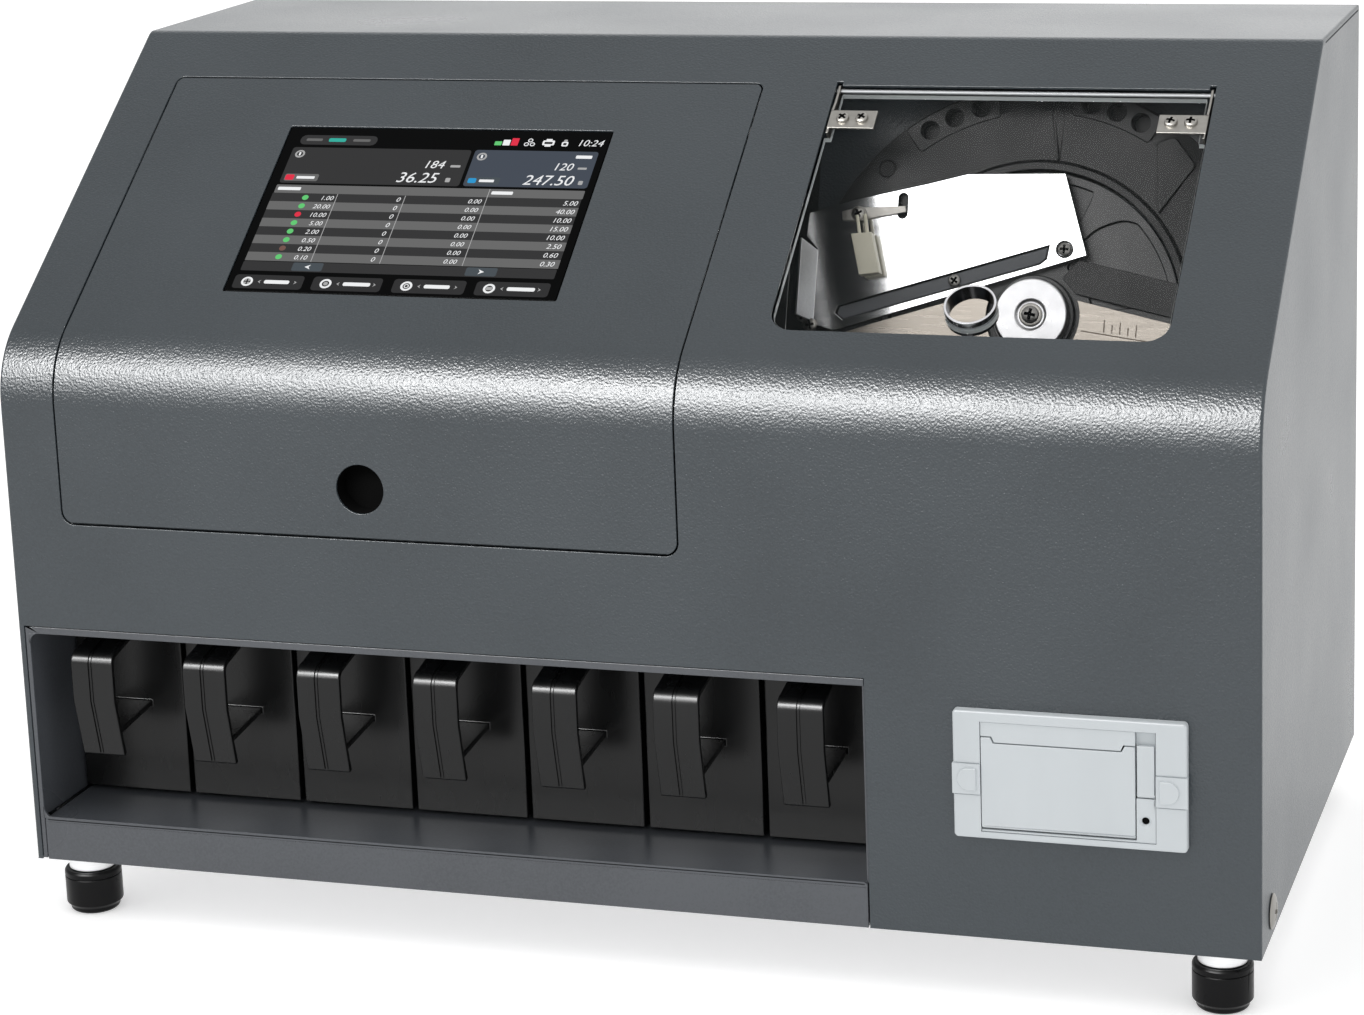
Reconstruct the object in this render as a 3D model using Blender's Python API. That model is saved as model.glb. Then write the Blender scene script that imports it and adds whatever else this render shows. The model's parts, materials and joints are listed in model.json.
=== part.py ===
"""Table-top coin sorting machine: a welded sheet-metal case on four feet, seven pull-out
coin boxes, a hinged access door that carries the display, a clear hopper lid over a tilted
feed disc, a sorting rail with a transport belt, and a panel printer.

Every dimension below is in millimetres in the case's own axes: x to the right from the left
side, y to the back from the front face, z up from the case's bottom edge. at() turns them
into the part's frame: metres, origin on the floor under the middle of the machine.

Three more sets of coordinates are used:
  skin       path along the outside from the bottom edge, depth below the surface
  slope      x, run up the slope from where it would meet the front face, depth below it
  mechanism  across to the right, up its tilted face, out of its face, from the disc's centre
A name ending in _X, _Y, _Z, _RUN, _DEPTH or _OUT with two values is a (low, high) span.
"""

import math

import bmesh
import bpy
from mathutils import Vector

MM = 0.001
SEGMENTS = 28

# ---------------------------------------------------------------- driving dimensions
CASE_W = 630.0
CASE_D = 325.0
CASE_H = 401.0
CASE_X = (0, CASE_W)
SHEET = 1.5
FOOT_H = 30.0
BEND_Z = 263.0  # height where the front face and the slope would meet
SLOPE_TOP_Y = 192.0  # where the slope would meet the top
BEND_R = 45.0
BEND_STEPS = 12
TOP_R = 8.0
PROUD = 6.0  # how far the printer stands in front of the case
Y_MID = (CASE_D - PROUD) / 2
SIDE_SCREW = (29.0, 13.3)  # y, z

SLOPE = math.atan2(CASE_H - BEND_Z, SLOPE_TOP_Y)
TURN = math.pi / 2 - SLOPE
RUN_START = BEND_R * math.tan(TURN / 2)
RUN_END = math.hypot(SLOPE_TOP_Y, CASE_H - BEND_Z) - TOP_R * math.tan(SLOPE / 2)
PATH_FRONT = BEND_Z - RUN_START
PATH_BEND = PATH_FRONT + BEND_R * TURN
BEND_PATHS = [
    PATH_FRONT + (PATH_BEND - PATH_FRONT) * i / BEND_STEPS for i in range(BEND_STEPS + 1)
]
THROUGH = (-3, SHEET + 3)  # depths of a cutter that passes right through the skin

DOOR_X = (30.2, 353.0)
DOOR_Z0 = 180.2
DOOR_TOP_RUN = 201.0
DOOR_GAP = 0.8
DOOR_PIVOT = (226.0, 12.0)  # run, depth
SCREEN_X = (106.5, 282.0)
SCREEN_RUN = (51.0, 165.7)

WINDOW_X = (391.5, 582.2)
WINDOW_MID_X = (WINDOW_X[0] + WINDOW_X[1]) / 2
WINDOW_RUN = (37.0, 201.0)
LID_PIVOT = (200.2, 3.8)  # run, depth

BAY_X = (3.2, 442.8)
BAY_Z = 125.0
BOX_X0 = 6.1
BOX_PITCH = 62.2
BOX_W = 59.8
BOX_COUNT = 7

HUB = (493.0, 150.0, 268.0)
MECH_TILT = math.radians(20.0)
MOTOR_UP = -60.0

X_AXIS = Vector((1, 0, 0))
Y_AXIS = Vector((0, 1, 0))
Z_AXIS = Vector((0, 0, 1))
SLOPE_OUT = Vector((0, -math.sin(SLOPE), math.cos(SLOPE)))
MECH_AXIS = Vector((0, -math.cos(MECH_TILT), math.sin(MECH_TILT)))


# ---------------------------------------------------------------- frames
def at(x, y, z):
    return Vector((x - CASE_W / 2, y - Y_MID, z + FOOT_H)) * MM


def on_slope(run, depth):
    """(y, z) of a point of the slope."""
    return (
        run * math.cos(SLOPE) + depth * math.sin(SLOPE),
        BEND_Z + run * math.sin(SLOPE) - depth * math.cos(SLOPE),
    )


def skin(path, depth):
    """(y, z) of a point of the case's skin."""
    if path <= PATH_FRONT:
        return depth, path
    if path <= PATH_BEND:
        angle = (path - PATH_FRONT) / BEND_R
        radius = BEND_R - depth
        return BEND_R - radius * math.cos(angle), PATH_FRONT + radius * math.sin(angle)
    return on_slope(RUN_START + path - PATH_BEND, depth)


def path_of(run):
    return PATH_BEND + run - RUN_START


def slope_at(x, run, depth):
    return at(x, *on_slope(run, depth))


def mech_in_case(across, up, out):
    """(x, y, z) in the case's axes of a point of the mechanism."""
    return (
        HUB[0] + across,
        HUB[1] + up * math.sin(MECH_TILT) - out * math.cos(MECH_TILT),
        HUB[2] + up * math.cos(MECH_TILT) + out * math.sin(MECH_TILT),
    )


def mech(across, up, out):
    return at(*mech_in_case(across, up, out))


# ---------------------------------------------------------------- flat outlines
def grow(span, amount):
    return span[0] - amount, span[1] + amount


def rect(x_span, y_span):
    (left, right), (low, high) = x_span, y_span
    return [(left, low), (right, low), (right, high), (left, high)]


def slope_rect(run_span, depth_span):
    """A rectangle square to the slope, seen from the side, in (y, z)."""
    return [on_slope(run, depth) for run, depth in rect(run_span, depth_span)]


def polar(centre, radius, degrees):
    angle = math.radians(degrees)
    return centre[0] + radius * math.cos(angle), centre[1] + radius * math.sin(angle)


def arc(centre, radius, start, end, steps):
    return [
        polar(centre, radius, start + (end - start) * i / steps) for i in range(steps + 1)
    ]


def rounded(x_span, y_span, radius, steps):
    left, right = grow(x_span, -radius)
    low, high = grow(y_span, -radius)
    return (
        arc((right, low), radius, -90, 0, steps)
        + arc((right, high), radius, 0, 90, steps)
        + arc((left, high), radius, 90, 180, steps)
        + arc((left, low), radius, 180, 270, steps)
    )


def lower_corners(x_span, low, radius):
    """The two rounded lower corners of an outline, left one first."""
    left, right = grow(x_span, -radius)
    return arc((left, low + radius), radius, 180, 270, 5) + arc(
        (right, low + radius), radius, 270, 360, 5
    )


def around(hinge, radius, degrees):
    """(y, z) about a hinge on the slope, 0 degrees up the slope, 90 out of it."""
    angle = math.radians(degrees)
    return on_slope(
        hinge[0] + radius * math.cos(angle), hinge[1] - radius * math.sin(angle)
    )


# ---------------------------------------------------------------- materials
MATERIALS = {  # base colour, roughness, metallic
    "case_paint": ((0.085, 0.098, 0.105), 0.42, 0.0),
    "liner_paint": ((0.10, 0.105, 0.125), 0.40, 0.0),
    "zinc": ((0.62, 0.63, 0.65), 0.30, 1.0),
    "aluminium": ((0.80, 0.80, 0.82), 0.28, 1.0),
    "mirror_steel": ((0.88, 0.89, 0.90), 0.05, 1.0),
    "chrome": ((0.86, 0.86, 0.88), 0.08, 1.0),
    "rubber": ((0.012, 0.012, 0.013), 0.55, 0.0),
    "black_plastic": ((0.012, 0.012, 0.013), 0.32, 0.0),
    "dark_moulding": ((0.045, 0.048, 0.050), 0.45, 0.0),
    "printer_plastic": ((0.68, 0.71, 0.73), 0.45, 0.0),
    "nylon": ((0.78, 0.75, 0.64), 0.45, 0.0),
    "clear_acrylic": ((0.95, 0.97, 0.97), 0.05, 0.0),
    "display_glass": ((0.008, 0.009, 0.010), 0.08, 0.0),
    "board_green": ((0.02, 0.16, 0.07), 0.50, 0.0),
    "paper": ((0.90, 0.89, 0.86), 0.85, 0.0),
    "belt_rubber": ((0.02, 0.02, 0.022), 0.60, 0.0),
}


def material(name):
    found = bpy.data.materials.get(name)
    if found:
        return found
    colour, roughness, metallic = MATERIALS[name]
    made = bpy.data.materials.new(name)
    made.use_nodes = True
    inputs = made.node_tree.nodes["Principled BSDF"].inputs
    inputs["Base Color"].default_value = (*colour, 1.0)
    inputs["Roughness"].default_value = roughness
    inputs["Metallic"].default_value = metallic
    return made


# ---------------------------------------------------------------- modelling helpers
# coat is the name of a material; cutters and pieces to be joined on have none.
def make_object(name, shape, coat):
    bmesh.ops.remove_doubles(shape, verts=shape.verts, dist=1e-7)
    bmesh.ops.recalc_face_normals(shape, faces=shape.faces)
    mesh = bpy.data.meshes.new(name)
    shape.to_mesh(mesh)
    shape.free()
    made = bpy.data.objects.new(name, mesh)
    bpy.context.scene.collection.objects.link(made)
    if coat:
        mesh.materials.append(material(coat))
    return made


def prism(name, points, along, coat=None):
    """A flat outline of 3-D points, pushed out by a vector in metres."""
    shape = bmesh.new()
    face = shape.faces.new([shape.verts.new(point) for point in points])
    pushed = bmesh.ops.extrude_face_region(shape, geom=[face])
    moved = [item for item in pushed["geom"] if isinstance(item, bmesh.types.BMVert)]
    bmesh.ops.translate(shape, verts=moved, vec=along)
    return make_object(name, shape, coat)


def block(name, x_span, y_span, z_span, coat=None):
    outline = [at(x, y, z_span[0]) for x, y in rect(x_span, y_span)]
    return prism(name, outline, Vector((0, 0, (z_span[1] - z_span[0]) * MM)), coat)


def side_prism(name, outline, x_span, coat=None):
    """An outline in (y, z), pushed along x."""
    start, end = x_span
    return prism(name, [at(start, y, z) for y, z in outline], X_AXIS * (end - start) * MM, coat)


def front_prism(name, outline, y_span, coat=None):
    """An outline in (x, z), pushed along y."""
    start, end = y_span
    return prism(name, [at(x, start, z) for x, z in outline], Y_AXIS * (end - start) * MM, coat)


def slope_prism(name, outline, depth_span, coat=None):
    """An outline in (x, run) on the slope, pushed into it."""
    start, end = depth_span
    points = [slope_at(x, run, start) for x, run in outline]
    return prism(name, points, SLOPE_OUT * (start - end) * MM, coat)


def mech_prism(name, outline, out_span, coat=None):
    """An outline in (across, up) on the mechanism, pushed out of its face."""
    start, end = out_span
    points = [mech(across, up, start) for across, up in outline]
    return prism(name, points, MECH_AXIS * (end - start) * MM, coat)


def turned(name, origin, axis, profile, coat=None, segments=SEGMENTS):
    """A closed outline of (radius, height) points in millimetres, spun about an axis."""
    axis = axis.normalized()
    side = axis.orthogonal().normalized()
    shape = bmesh.new()
    verts = [
        shape.verts.new(origin + side * radius * MM + axis * height * MM)
        for radius, height in profile
    ]
    edges = []
    for i in range(len(verts)):
        j = (i + 1) % len(verts)
        if profile[i][0] > 0 or profile[j][0] > 0:
            edges.append(shape.edges.new((verts[i], verts[j])))
    bmesh.ops.spin(
        shape,
        geom=verts + edges,
        cent=origin,
        axis=axis,
        angle=2 * math.pi,
        steps=segments,
        use_merge=True,
    )
    bmesh.ops.remove_doubles(shape, verts=shape.verts, dist=1e-6)
    return make_object(name, shape, coat)


def rod(name, origin, axis, radius, span, coat=None, segments=SEGMENTS):
    start, end = span
    profile = [(0, start), (radius, start), (radius, end), (0, end)]
    return turned(name, origin, axis, profile, coat, segments)


def hinge_rod(name, x, hinge, radius, span, coat=None):
    """A rod along x, centred on a hinge of the slope."""
    return rod(name, slope_at(x, *hinge), X_AXIS, radius, span, coat, 16)


def mech_turned(name, centre, profile, coat, segments=SEGMENTS):
    return turned(name, mech(*centre, 0), MECH_AXIS, profile, coat, segments)


def mech_rod(name, centre, radius, span, segments, coat=None):
    return rod(name, mech(*centre, 0), MECH_AXIS, radius, span, coat, segments)


def combine(target, others, operation):
    """Boolean the others into or out of the target, and remove them."""
    for other in others:
        modifier = target.modifiers.new(other.name, "BOOLEAN")
        modifier.operation = operation
        modifier.solver = "EXACT"
        modifier.object = other
    bpy.context.view_layer.update()
    graph = bpy.context.evaluated_depsgraph_get()
    mesh = bpy.data.meshes.new_from_object(target.evaluated_get(graph))
    target.modifiers.clear()
    target.data = mesh
    for other in others:
        bpy.data.objects.remove(other)
    return target


def cut(target, *others):
    return combine(target, others, "DIFFERENCE")


def join(target, *others):
    return combine(target, others, "UNION")


def skin_plate(name, x_span, path_span, corners, depths, coat=None):
    """A plate that follows the skin between two depths; corners are lower, upper radius."""
    low, high = path_span
    low_r, high_r = corners
    quarter = [math.radians(90 * i / 4) for i in range(5)]
    # Stations are (path, how far the sides are drawn in).
    stations = [
        (low + low_r * (1 - math.cos(angle)), low_r * (1 - math.sin(angle)))
        for angle in quarter
    ]
    stations += [
        (path, 0.0) for path in BEND_PATHS if low + low_r + 0.5 < path < high - high_r - 0.5
    ]
    stations += [
        (high - high_r + high_r * math.sin(angle), high_r * (1 - math.cos(angle)))
        for angle in quarter
    ]
    shape = bmesh.new()
    rings = []
    for path, inset in stations:
        left, right = grow(x_span, -inset)
        first, second = skin(path, depths[0]), skin(path, depths[1])
        corner_points = ((left, first), (right, first), (right, second), (left, second))
        rings.append([shape.verts.new(at(x, *place)) for x, place in corner_points])
    for ring, following in zip(rings, rings[1:]):
        for i in range(4):
            j = (i + 1) % 4
            shape.faces.new((ring[i], ring[j], following[j], following[i]))
    shape.faces.new(rings[0])
    shape.faces.new(rings[-1])
    return make_object(name, shape, coat)


def pivot(name, origin, *pieces):
    """An empty on a joint's axis, holding the pieces that turn or slide with it."""
    empty = bpy.data.objects.new(name, None)
    empty.empty_display_size = 0.02
    empty.location = origin
    bpy.context.scene.collection.objects.link(empty)
    bpy.context.view_layer.update()
    for piece in pieces:
        piece.parent = empty
        piece.matrix_parent_inverse = empty.matrix_world.inverted()


# ---------------------------------------------------------------- case
DOOR_EAR_X = (13.0, 355.5)  # left faces
LID_EAR_X = (387.2, 585.0)
NOTCH_W = 3.1
NOTCH_TOP_RUN = 203.6


def case_outline(depth, low, back):
    """The case's side view at a depth inside its skin."""
    return (
        [(depth, low)]
        + [skin(path, depth) for path in BEND_PATHS]
        + arc(on_slope(RUN_END, TOP_R), TOP_R - depth, 90 + math.degrees(SLOPE), 90, 3)
        + [(back, CASE_H - depth), (back, low)]
    )


def side_screw_holes(inset, reach):
    return [
        rod("screw_hole", at(x, *SIDE_SCREW), X_AXIS, 2.7, (-reach, reach), None, 16)
        for x in (inset, CASE_W - inset)
    ]


def case_openings():
    """Cutters for the box bay, door, window, printer, hinge notches and side screws."""
    bay = block("bay_hole", BAY_X, (-3, 4), (-3, BAY_Z))
    door_path = grow((DOOR_Z0, path_of(DOOR_TOP_RUN)), DOOR_GAP)
    door = skin_plate("door_hole", grow(DOOR_X, DOOR_GAP), door_path, (7.0, 4.5), THROUGH)
    window_outline = [(WINDOW_X[1], WINDOW_RUN[1]), (WINDOW_X[0], WINDOW_RUN[1])]
    window_outline += lower_corners(WINDOW_X, WINDOW_RUN[0], 12)
    window = slope_prism("window_hole", window_outline, THROUGH)
    printer = block("printer_hole", (489.0, 593.5), (-3, 4), (54.0, 112.0))
    notches = [
        slope_prism(
            "notch", rect((x, x + NOTCH_W), (WINDOW_RUN[1] - 4, NOTCH_TOP_RUN)), THROUGH
        )
        for x in (WINDOW_X[0], WINDOW_X[1] - NOTCH_W)
    ]
    return [bay, door, window, printer, *notches, *side_screw_holes(0.75, 4)]


def build_outer_case():
    case = side_prism("outer_case", case_outline(0, 0, CASE_D), CASE_X, "case_paint")
    inside = case_outline(SHEET, -2, CASE_D + 2)
    hollow = side_prism("hollow", inside, grow(CASE_X, -SHEET))
    cut(case, hollow, *case_openings())
    # Ears welded under the skin: two hold the lid's rod, two hold the door's rod.
    ears = []
    holes = []
    for ears_x, run_span, depth_span, hinge, hole_radius in (
        (LID_EAR_X, (194, 206), (1.0, 8.5), LID_PIVOT, 1.7),
        (DOOR_EAR_X, (219, 232), (1.0, 18), DOOR_PIVOT, 2.3),
    ):
        for x in ears_x:
            ears.append(side_prism("ear", slope_rect(run_span, depth_span), (x, x + SHEET)))
            holes.append(hinge_rod("ear_hole", x + SHEET / 2, hinge, hole_radius, (-3, 3)))
    join(case, *ears)
    cut(case, *holes)


# ---------------------------------------------------------------- base, rear, bay
CHUTE_ROOF_Z = (120, 130)
TRAY_X = (6.3, 442.0)
TRAY_TOP_Z = 21.8


def build_base_chassis():
    chassis = block("base_chassis", grow(CASE_X, -2.0), (2.2, 321.6), (0.4, 1.9), "zinc")
    join(
        chassis,
        block("flange_left", (1.8, 3.0), (20, 310), (0.4, 20)),
        block("flange_right", (CASE_W - 3.0, CASE_W - 1.8), (20, 310), (0.4, 20)),
    )
    cut(chassis, *side_screw_holes(2.4, 3))


def build_rear_panel():
    cut_y = (320, 326)
    panel = block("rear_panel", grow(CASE_X, -1.9), (322.2, 323.7), (2.2, 399.0), "case_paint")
    vents = [
        block("vent", (x, x + 60), cut_y, (z, z + 4))
        for x in (90, 175, 395, 480)
        for z in (300, 312, 324, 336)
    ]
    cut(
        panel,
        *vents,
        block("inlet_hole", (568.5, 603.5), cut_y, (26.5, 81.5)),
        block("port_hole", (470, 490), cut_y, (120, 134)),
        block("port_hole", (500, 516), cut_y, (120, 132)),
    )


def build_bay():
    """The liner round the coin boxes, open to the front and below, and the tray they run on."""
    liner = block("bay_liner", (3.5, 442.5), (1.9, 300), (22.4, 124.6), "liner_paint")
    cut(liner, block("bay_room", (4.7, 441.3), (-1, 298.8), (20, 123.4)))
    join(
        liner,
        block("flange_side", (3.5, 5.8), (0.4, 2.0), (0.6, 124.6)),
        block("flange_top", (3.5, 442.5), (0.4, 2.0), (121.0, 124.6)),
    )
    chute_holes = []
    for i in range(BOX_COUNT):
        x_span = (BOX_X0 + BOX_PITCH * i + 7, BOX_X0 + BOX_PITCH * i + 53)
        chute_holes.append(block("chute_hole", x_span, (118, 180), CHUTE_ROOF_Z))
    cut(liner, *chute_holes)
    tray = block("bay_tray", TRAY_X, (0.2, 298.4), (20.3, TRAY_TOP_Z), "liner_paint")
    join(tray, block("tray_lip", TRAY_X, (0.2, 1.7), (0.1, TRAY_TOP_Z)))


# ---------------------------------------------------------------- feet and side screws
FEET = {  # x, y
    "front_left": (22.8, 15.8),
    "front_right": (609.2, 15.8),
    "rear_left": (28.0, 302.0),
    "rear_right": (602.0, 302.0),
}
FOOT_PROFILE = [  # radius, z
    (0, -30), (11.4, -30), (12.5, -29.0), (12.8, -27.2),
    (14.5, -25.4), (14.5, -8.6), (13.6, -7.4), (0, -7.4),
]
SCREW_PROFILE = [  # radius, distance out of the case's side
    (0, -6), (2.4, -6), (2.4, 0.3), (8.6, 0.3), (8.6, 0.8),
    (7.4, 1.5), (5.4, 2.1), (2.8, 2.4), (0, 2.4),
]


def build_feet():
    for corner, (x, y) in FEET.items():
        origin = at(x, y, 0)
        turned(f"foot_{corner}", origin, Z_AXIS, FOOT_PROFILE, "rubber")
        rod(f"foot_spacer_{corner}", origin, Z_AXIS, 11.8, (-7.1, 0.1), "aluminium")


def build_side_screws():
    for side, x, outward in (("left", 0.0, -X_AXIS), ("right", CASE_W, X_AXIS)):
        origin = at(x, *SIDE_SCREW)
        turned(f"case_screw_{side}", origin, outward, SCREW_PROFILE, "zinc", 20)


# ---------------------------------------------------------------- coin boxes
BOX_Y = (47.0, 272.0)
BOX_Z = (23.8, 120.0)
BOX_WALL = 2.0
BOX_FLOOR = 2.2
HANDLE_W = 23.0
HANDLE_BACK_Y = BOX_Y[0] + 0.6  # just inside the box's front wall
HANDLE_BEND = (13.0, 103.6)  # y, z of the centre of the upper bend
HANDLE_OUTLINE = (  # y, z: a bent band whose hollow is open to both sides
    [(HANDLE_BACK_Y, 118.2), (14.5, 110.8)]
    + arc(HANDLE_BEND, 7.0, 100, 180, 4)
    + [(6.0, 85.0), (12.6, 54.6), (14.2, 53.8), (16.0, 55.0)]
    + [(12.9, 66.6), (HANDLE_BACK_Y, 70.2), (HANDLE_BACK_Y, 73.2), (12.0, 69.6), (9.0, 85.4)]
    + arc(HANDLE_BEND, 4.0, 180, 100, 3)
    + [(HANDLE_BACK_Y, 115.0)]
)


def build_coin_box(index):
    name = f"coin_box_{index + 1}"
    left = BOX_X0 + BOX_PITCH * index
    right = left + BOX_W
    middle = (left + right) / 2
    box = block(name, (left, right), BOX_Y, BOX_Z, "black_plastic")
    room_z = (BOX_Z[0] + BOX_FLOOR, BOX_Z[1] + 5)
    cut(box, block("room", grow((left, right), -BOX_WALL), grow(BOX_Y, -BOX_WALL), room_z))
    handle_x = (middle - HANDLE_W / 2, middle + HANDLE_W / 2)
    join(
        box,
        side_prism("handle", HANDLE_OUTLINE, handle_x),
        block("runner_left", (left + 6, left + 9), (60, 266), (22.1, 24.4)),
        block("runner_right", (right - 9, right - 6), (60, 266), (22.1, 24.4)),
    )
    pivot(f"{name}_slide", at(middle, BOX_Y[0], BOX_Z[0]), box)


# ---------------------------------------------------------------- access door and display
FINGER_HOLE_X = 192.0
FINGER_HOLE_Z = 205.0
FINGER_HOLE_R = 12.35
SCREEN_GAP = 0.6
ARM_W = 4.0
PAD_RUN = (DOOR_PIVOT[0] - 50, DOOR_PIVOT[0] - 29.5)
PAD_DEPTH = (SHEET + 0.3, SHEET + 2.6)


def make_door():
    door_path = (DOOR_Z0, path_of(DOOR_TOP_RUN))
    door = skin_plate("access_door", DOOR_X, door_path, (6.5, 4.0), (0.0, SHEET), "case_paint")
    hole_origin = at(FINGER_HOLE_X, 0, FINGER_HOLE_Z)
    screen = rounded(grow(SCREEN_X, SCREEN_GAP), grow(SCREEN_RUN, SCREEN_GAP), 1.2, 2)
    return cut(
        door,
        rod("finger_hole", hole_origin, Y_AXIS, FINGER_HOLE_R, (-4, 4), None, 32),
        slope_prism("screen_hole", screen, THROUGH),
    )


def hinge_arm(name, left):
    """A curved arm from the pivot rod to a pad behind the door."""
    outline = [around(DOOR_PIVOT, 36.5, 165.5 + 7 * i) for i in range(16)]
    outline += [around(DOOR_PIVOT, 5.2, angle) for angle in (292, 340, 25, 70, 115, 160, 205)]
    outline += [around(DOOR_PIVOT, 27.0, 255.0)]
    outline += [around(DOOR_PIVOT, 30.5, 252 - 9 * i) for i in range(11)]
    arm = side_prism(name, outline, (left, left + ARM_W), "zinc")
    join(arm, side_prism("pad", slope_rect(PAD_RUN, PAD_DEPTH), (left - 3, left + 9)))
    return cut(arm, hinge_rod("eye", left + ARM_W / 2, DOOR_PIVOT, 2.35, (-6, 6)))


def build_access_door():
    screen = rounded(SCREEN_X, SCREEN_RUN, 0.8, 2)
    housing = rounded((98.0, 290.5), (43.0, 173.5), 4, 2)
    hinge_rod("door_pivot_rod", 0, DOOR_PIVOT, 2.0, (11.0, 359.0), "zinc")
    pivot(
        "access_door_hinge",
        slope_at(190, *DOOR_PIVOT),
        make_door(),
        slope_prism("touch_screen", screen, (0.4, 3.2), "display_glass"),
        slope_prism("display_housing", housing, (3.6, 24.0), "black_plastic"),
        hinge_arm("door_hinge_arm_left", 38.0),
        hinge_arm("door_hinge_arm_right", 336.0),
    )


# ---------------------------------------------------------------- clear hopper lid
LID_X = (392.3, 581.4)
LID_RUN = (38.0, 196.2)
LID_DEPTH = (1.6, 4.6)
LID_STEP = 3.0  # how much narrower each side is near the hinge
LID_STEP_RUN = 165.5
RING_RUN = 55.0
RING_PROFILE = [(11.3, -7.0), (12.5, -7.0), (12.5, 2.0), (11.3, 2.0)]  # radius, out
BRACKET_RUN = (171.2, 183.4)
BRACKET_T = 1.2


def make_window_lid():
    left, right = LID_X
    upper_left, upper_right = grow(LID_X, -LID_STEP)
    outline = [
        (upper_right, LID_RUN[1]),
        (upper_left, LID_RUN[1]),
        (upper_left, LID_STEP_RUN),
        (left, LID_STEP_RUN),
        *lower_corners(LID_X, LID_RUN[0], 11),
        (right, LID_STEP_RUN),
        (upper_right, LID_STEP_RUN),
    ]
    lid = slope_prism("window_lid", outline, LID_DEPTH, "clear_acrylic")
    hole_origin = slope_at(WINDOW_MID_X, RING_RUN, 0)
    return cut(lid, rod("ring_hole", hole_origin, SLOPE_OUT, 12.8, (-12, 8), None, 32))


def lid_bracket(name, cheek_x, plate_x):
    """Angle bracket: a plate on the lid and a cheek with an eye on the rod."""
    plate = slope_prism(name, rect(plate_x, BRACKET_RUN), (0.1, 1.3), "zinc")
    cheek = [on_slope(168, 0.4), on_slope(168, 6.5), on_slope(186, 8.0)]
    cheek += [around(LID_PIVOT, 3.3, angle) for angle in range(-60, 121, 30)]
    cheek += [on_slope(190, 0.9), on_slope(184, 0.1)]
    join(plate, side_prism("cheek", cheek, cheek_x))
    return cut(plate, hinge_rod("eye", sum(cheek_x) / 2, LID_PIVOT, 1.75, (-3, 3)))


def build_hopper_lid():
    left, right = grow(LID_X, -0.3)
    ring_origin = slope_at(WINDOW_MID_X, RING_RUN, 0)
    hinge_rod("lid_hinge_rod", 0, LID_PIVOT, 1.5, (386.6, 587.1), "chrome")
    pivot(
        "window_lid_hinge",
        slope_at(WINDOW_MID_X, *LID_PIVOT),
        make_window_lid(),
        turned("lid_finger_ring", ring_origin, SLOPE_OUT, RING_PROFILE, "chrome", 40),
        lid_bracket("lid_bracket_left", (left, left + BRACKET_T), (left, 416.5)),
        lid_bracket("lid_bracket_right", (right - BRACKET_T, right), (557.2, right)),
    )


# ---------------------------------------------------------------- hopper and feed disc
CENTRE = (0, 0)  # across, up
MOTOR = (0, MOTOR_UP)
PLATE_ACROSS = (-119, 129)
PLATE_UP = (-118, 120)
RING_OUT_R = 117.5
RING_IN_R = 74.0
DISC_R = 73.0
FEED_PULLEY_R = 24.0
MOTOR_PULLEY_R = 9.0
HOPPER_PROFILE = [  # radius, out
    (RING_IN_R, -16), (RING_OUT_R, -16), (RING_OUT_R, -2.0), (RING_OUT_R - 14, 0.0),
    (79, -1.6), (77.5, 0.0), (RING_IN_R, 0.0),
]
BOSS_ANGLES = (122.2, 114.9, 107.4, 77.7, 70.7, 63.7)
BRIDGE = [(20.6, 11.8), (74.6, 0.2), (77.5, 17.0), (21.5, 28.8), (13.5, 19.6)]  # across, up
DISC_PROFILE = [(6.2, -7.2), (DISC_R, -7.2), (DISC_R, -2.6), (22, -2.6), (22, 1.2), (6.2, 1.2)]
CAP_PROFILE = [
    (0, 1.5), (18.8, 1.5), (18.8, 5.4), (17.8, 6.3), (8.0, 6.3), (6.8, 5.5), (0, 5.5),
]
MOTOR_PROFILE = [
    (0, -92), (21, -92), (23, -90), (23, -42), (26, -42), (26, -38), (6, -38), (6, -36), (0, -36),
]


def build_mechanism_plate():
    """The tilted plate behind the hopper and the two legs that carry it."""
    plate = mech_prism("mechanism_plate", rect(PLATE_ACROSS, PLATE_UP), (-19, -16.4), "zinc")
    leg = [mech_in_case(0, up, -17.7)[1:] for up in (-112, 116)]
    leg += [(248, 345), (236, 2.3), (122, 2.3)]
    join(
        plate,
        side_prism("leg_left", leg, (445.0, 448.0)),
        side_prism("leg_right", leg, (618.0, 621.0)),
    )
    cut(
        plate,
        mech_rod("shaft_hole", CENTRE, 8.0, (-30, 0), 24),
        mech_rod("motor_hole", MOTOR, 12.0, (-30, 0), 24),
    )


def build_hopper_ring():
    ring = mech_turned("hopper_ring", CENTRE, HOPPER_PROFILE, "dark_moulding", 48)
    holes = [
        mech_rod("boss_hole", polar(CENTRE, 109.5, angle), 4.8, (-9, 4), 12)
        for angle in BOSS_ANGLES
    ]
    cut(ring, *holes)
    join(ring, mech_prism("bridge", BRIDGE, (-1.3, -0.1)))


def make_feed_disc():
    """The disc, with six pockets sunk round its face."""
    disc = mech_turned("feed_disc", CENTRE, DISC_PROFILE, "dark_moulding", 40)
    pockets = []
    for i in range(6):
        turn = 60.0 * i
        outline = arc(CENTRE, 68.5, turn + 7, turn + 45, 6)
        outline += [polar(CENTRE, 64.0, turn + 51), polar(CENTRE, 50.0, turn + 60)]
        outline += arc(CENTRE, 29.0, turn + 60, turn + 7, 3)
        pockets.append(mech_prism("pocket", outline, (-4.6, 0)))
    return cut(disc, *pockets)


def pulley_rim(radius, flange):
    """(radius, out) points of a belt groove between two flanges."""
    edge = radius + flange
    return [(edge, -33), (edge, -32), (radius, -31.5), (radius, -24.5), (edge, -24), (edge, -23)]


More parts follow.
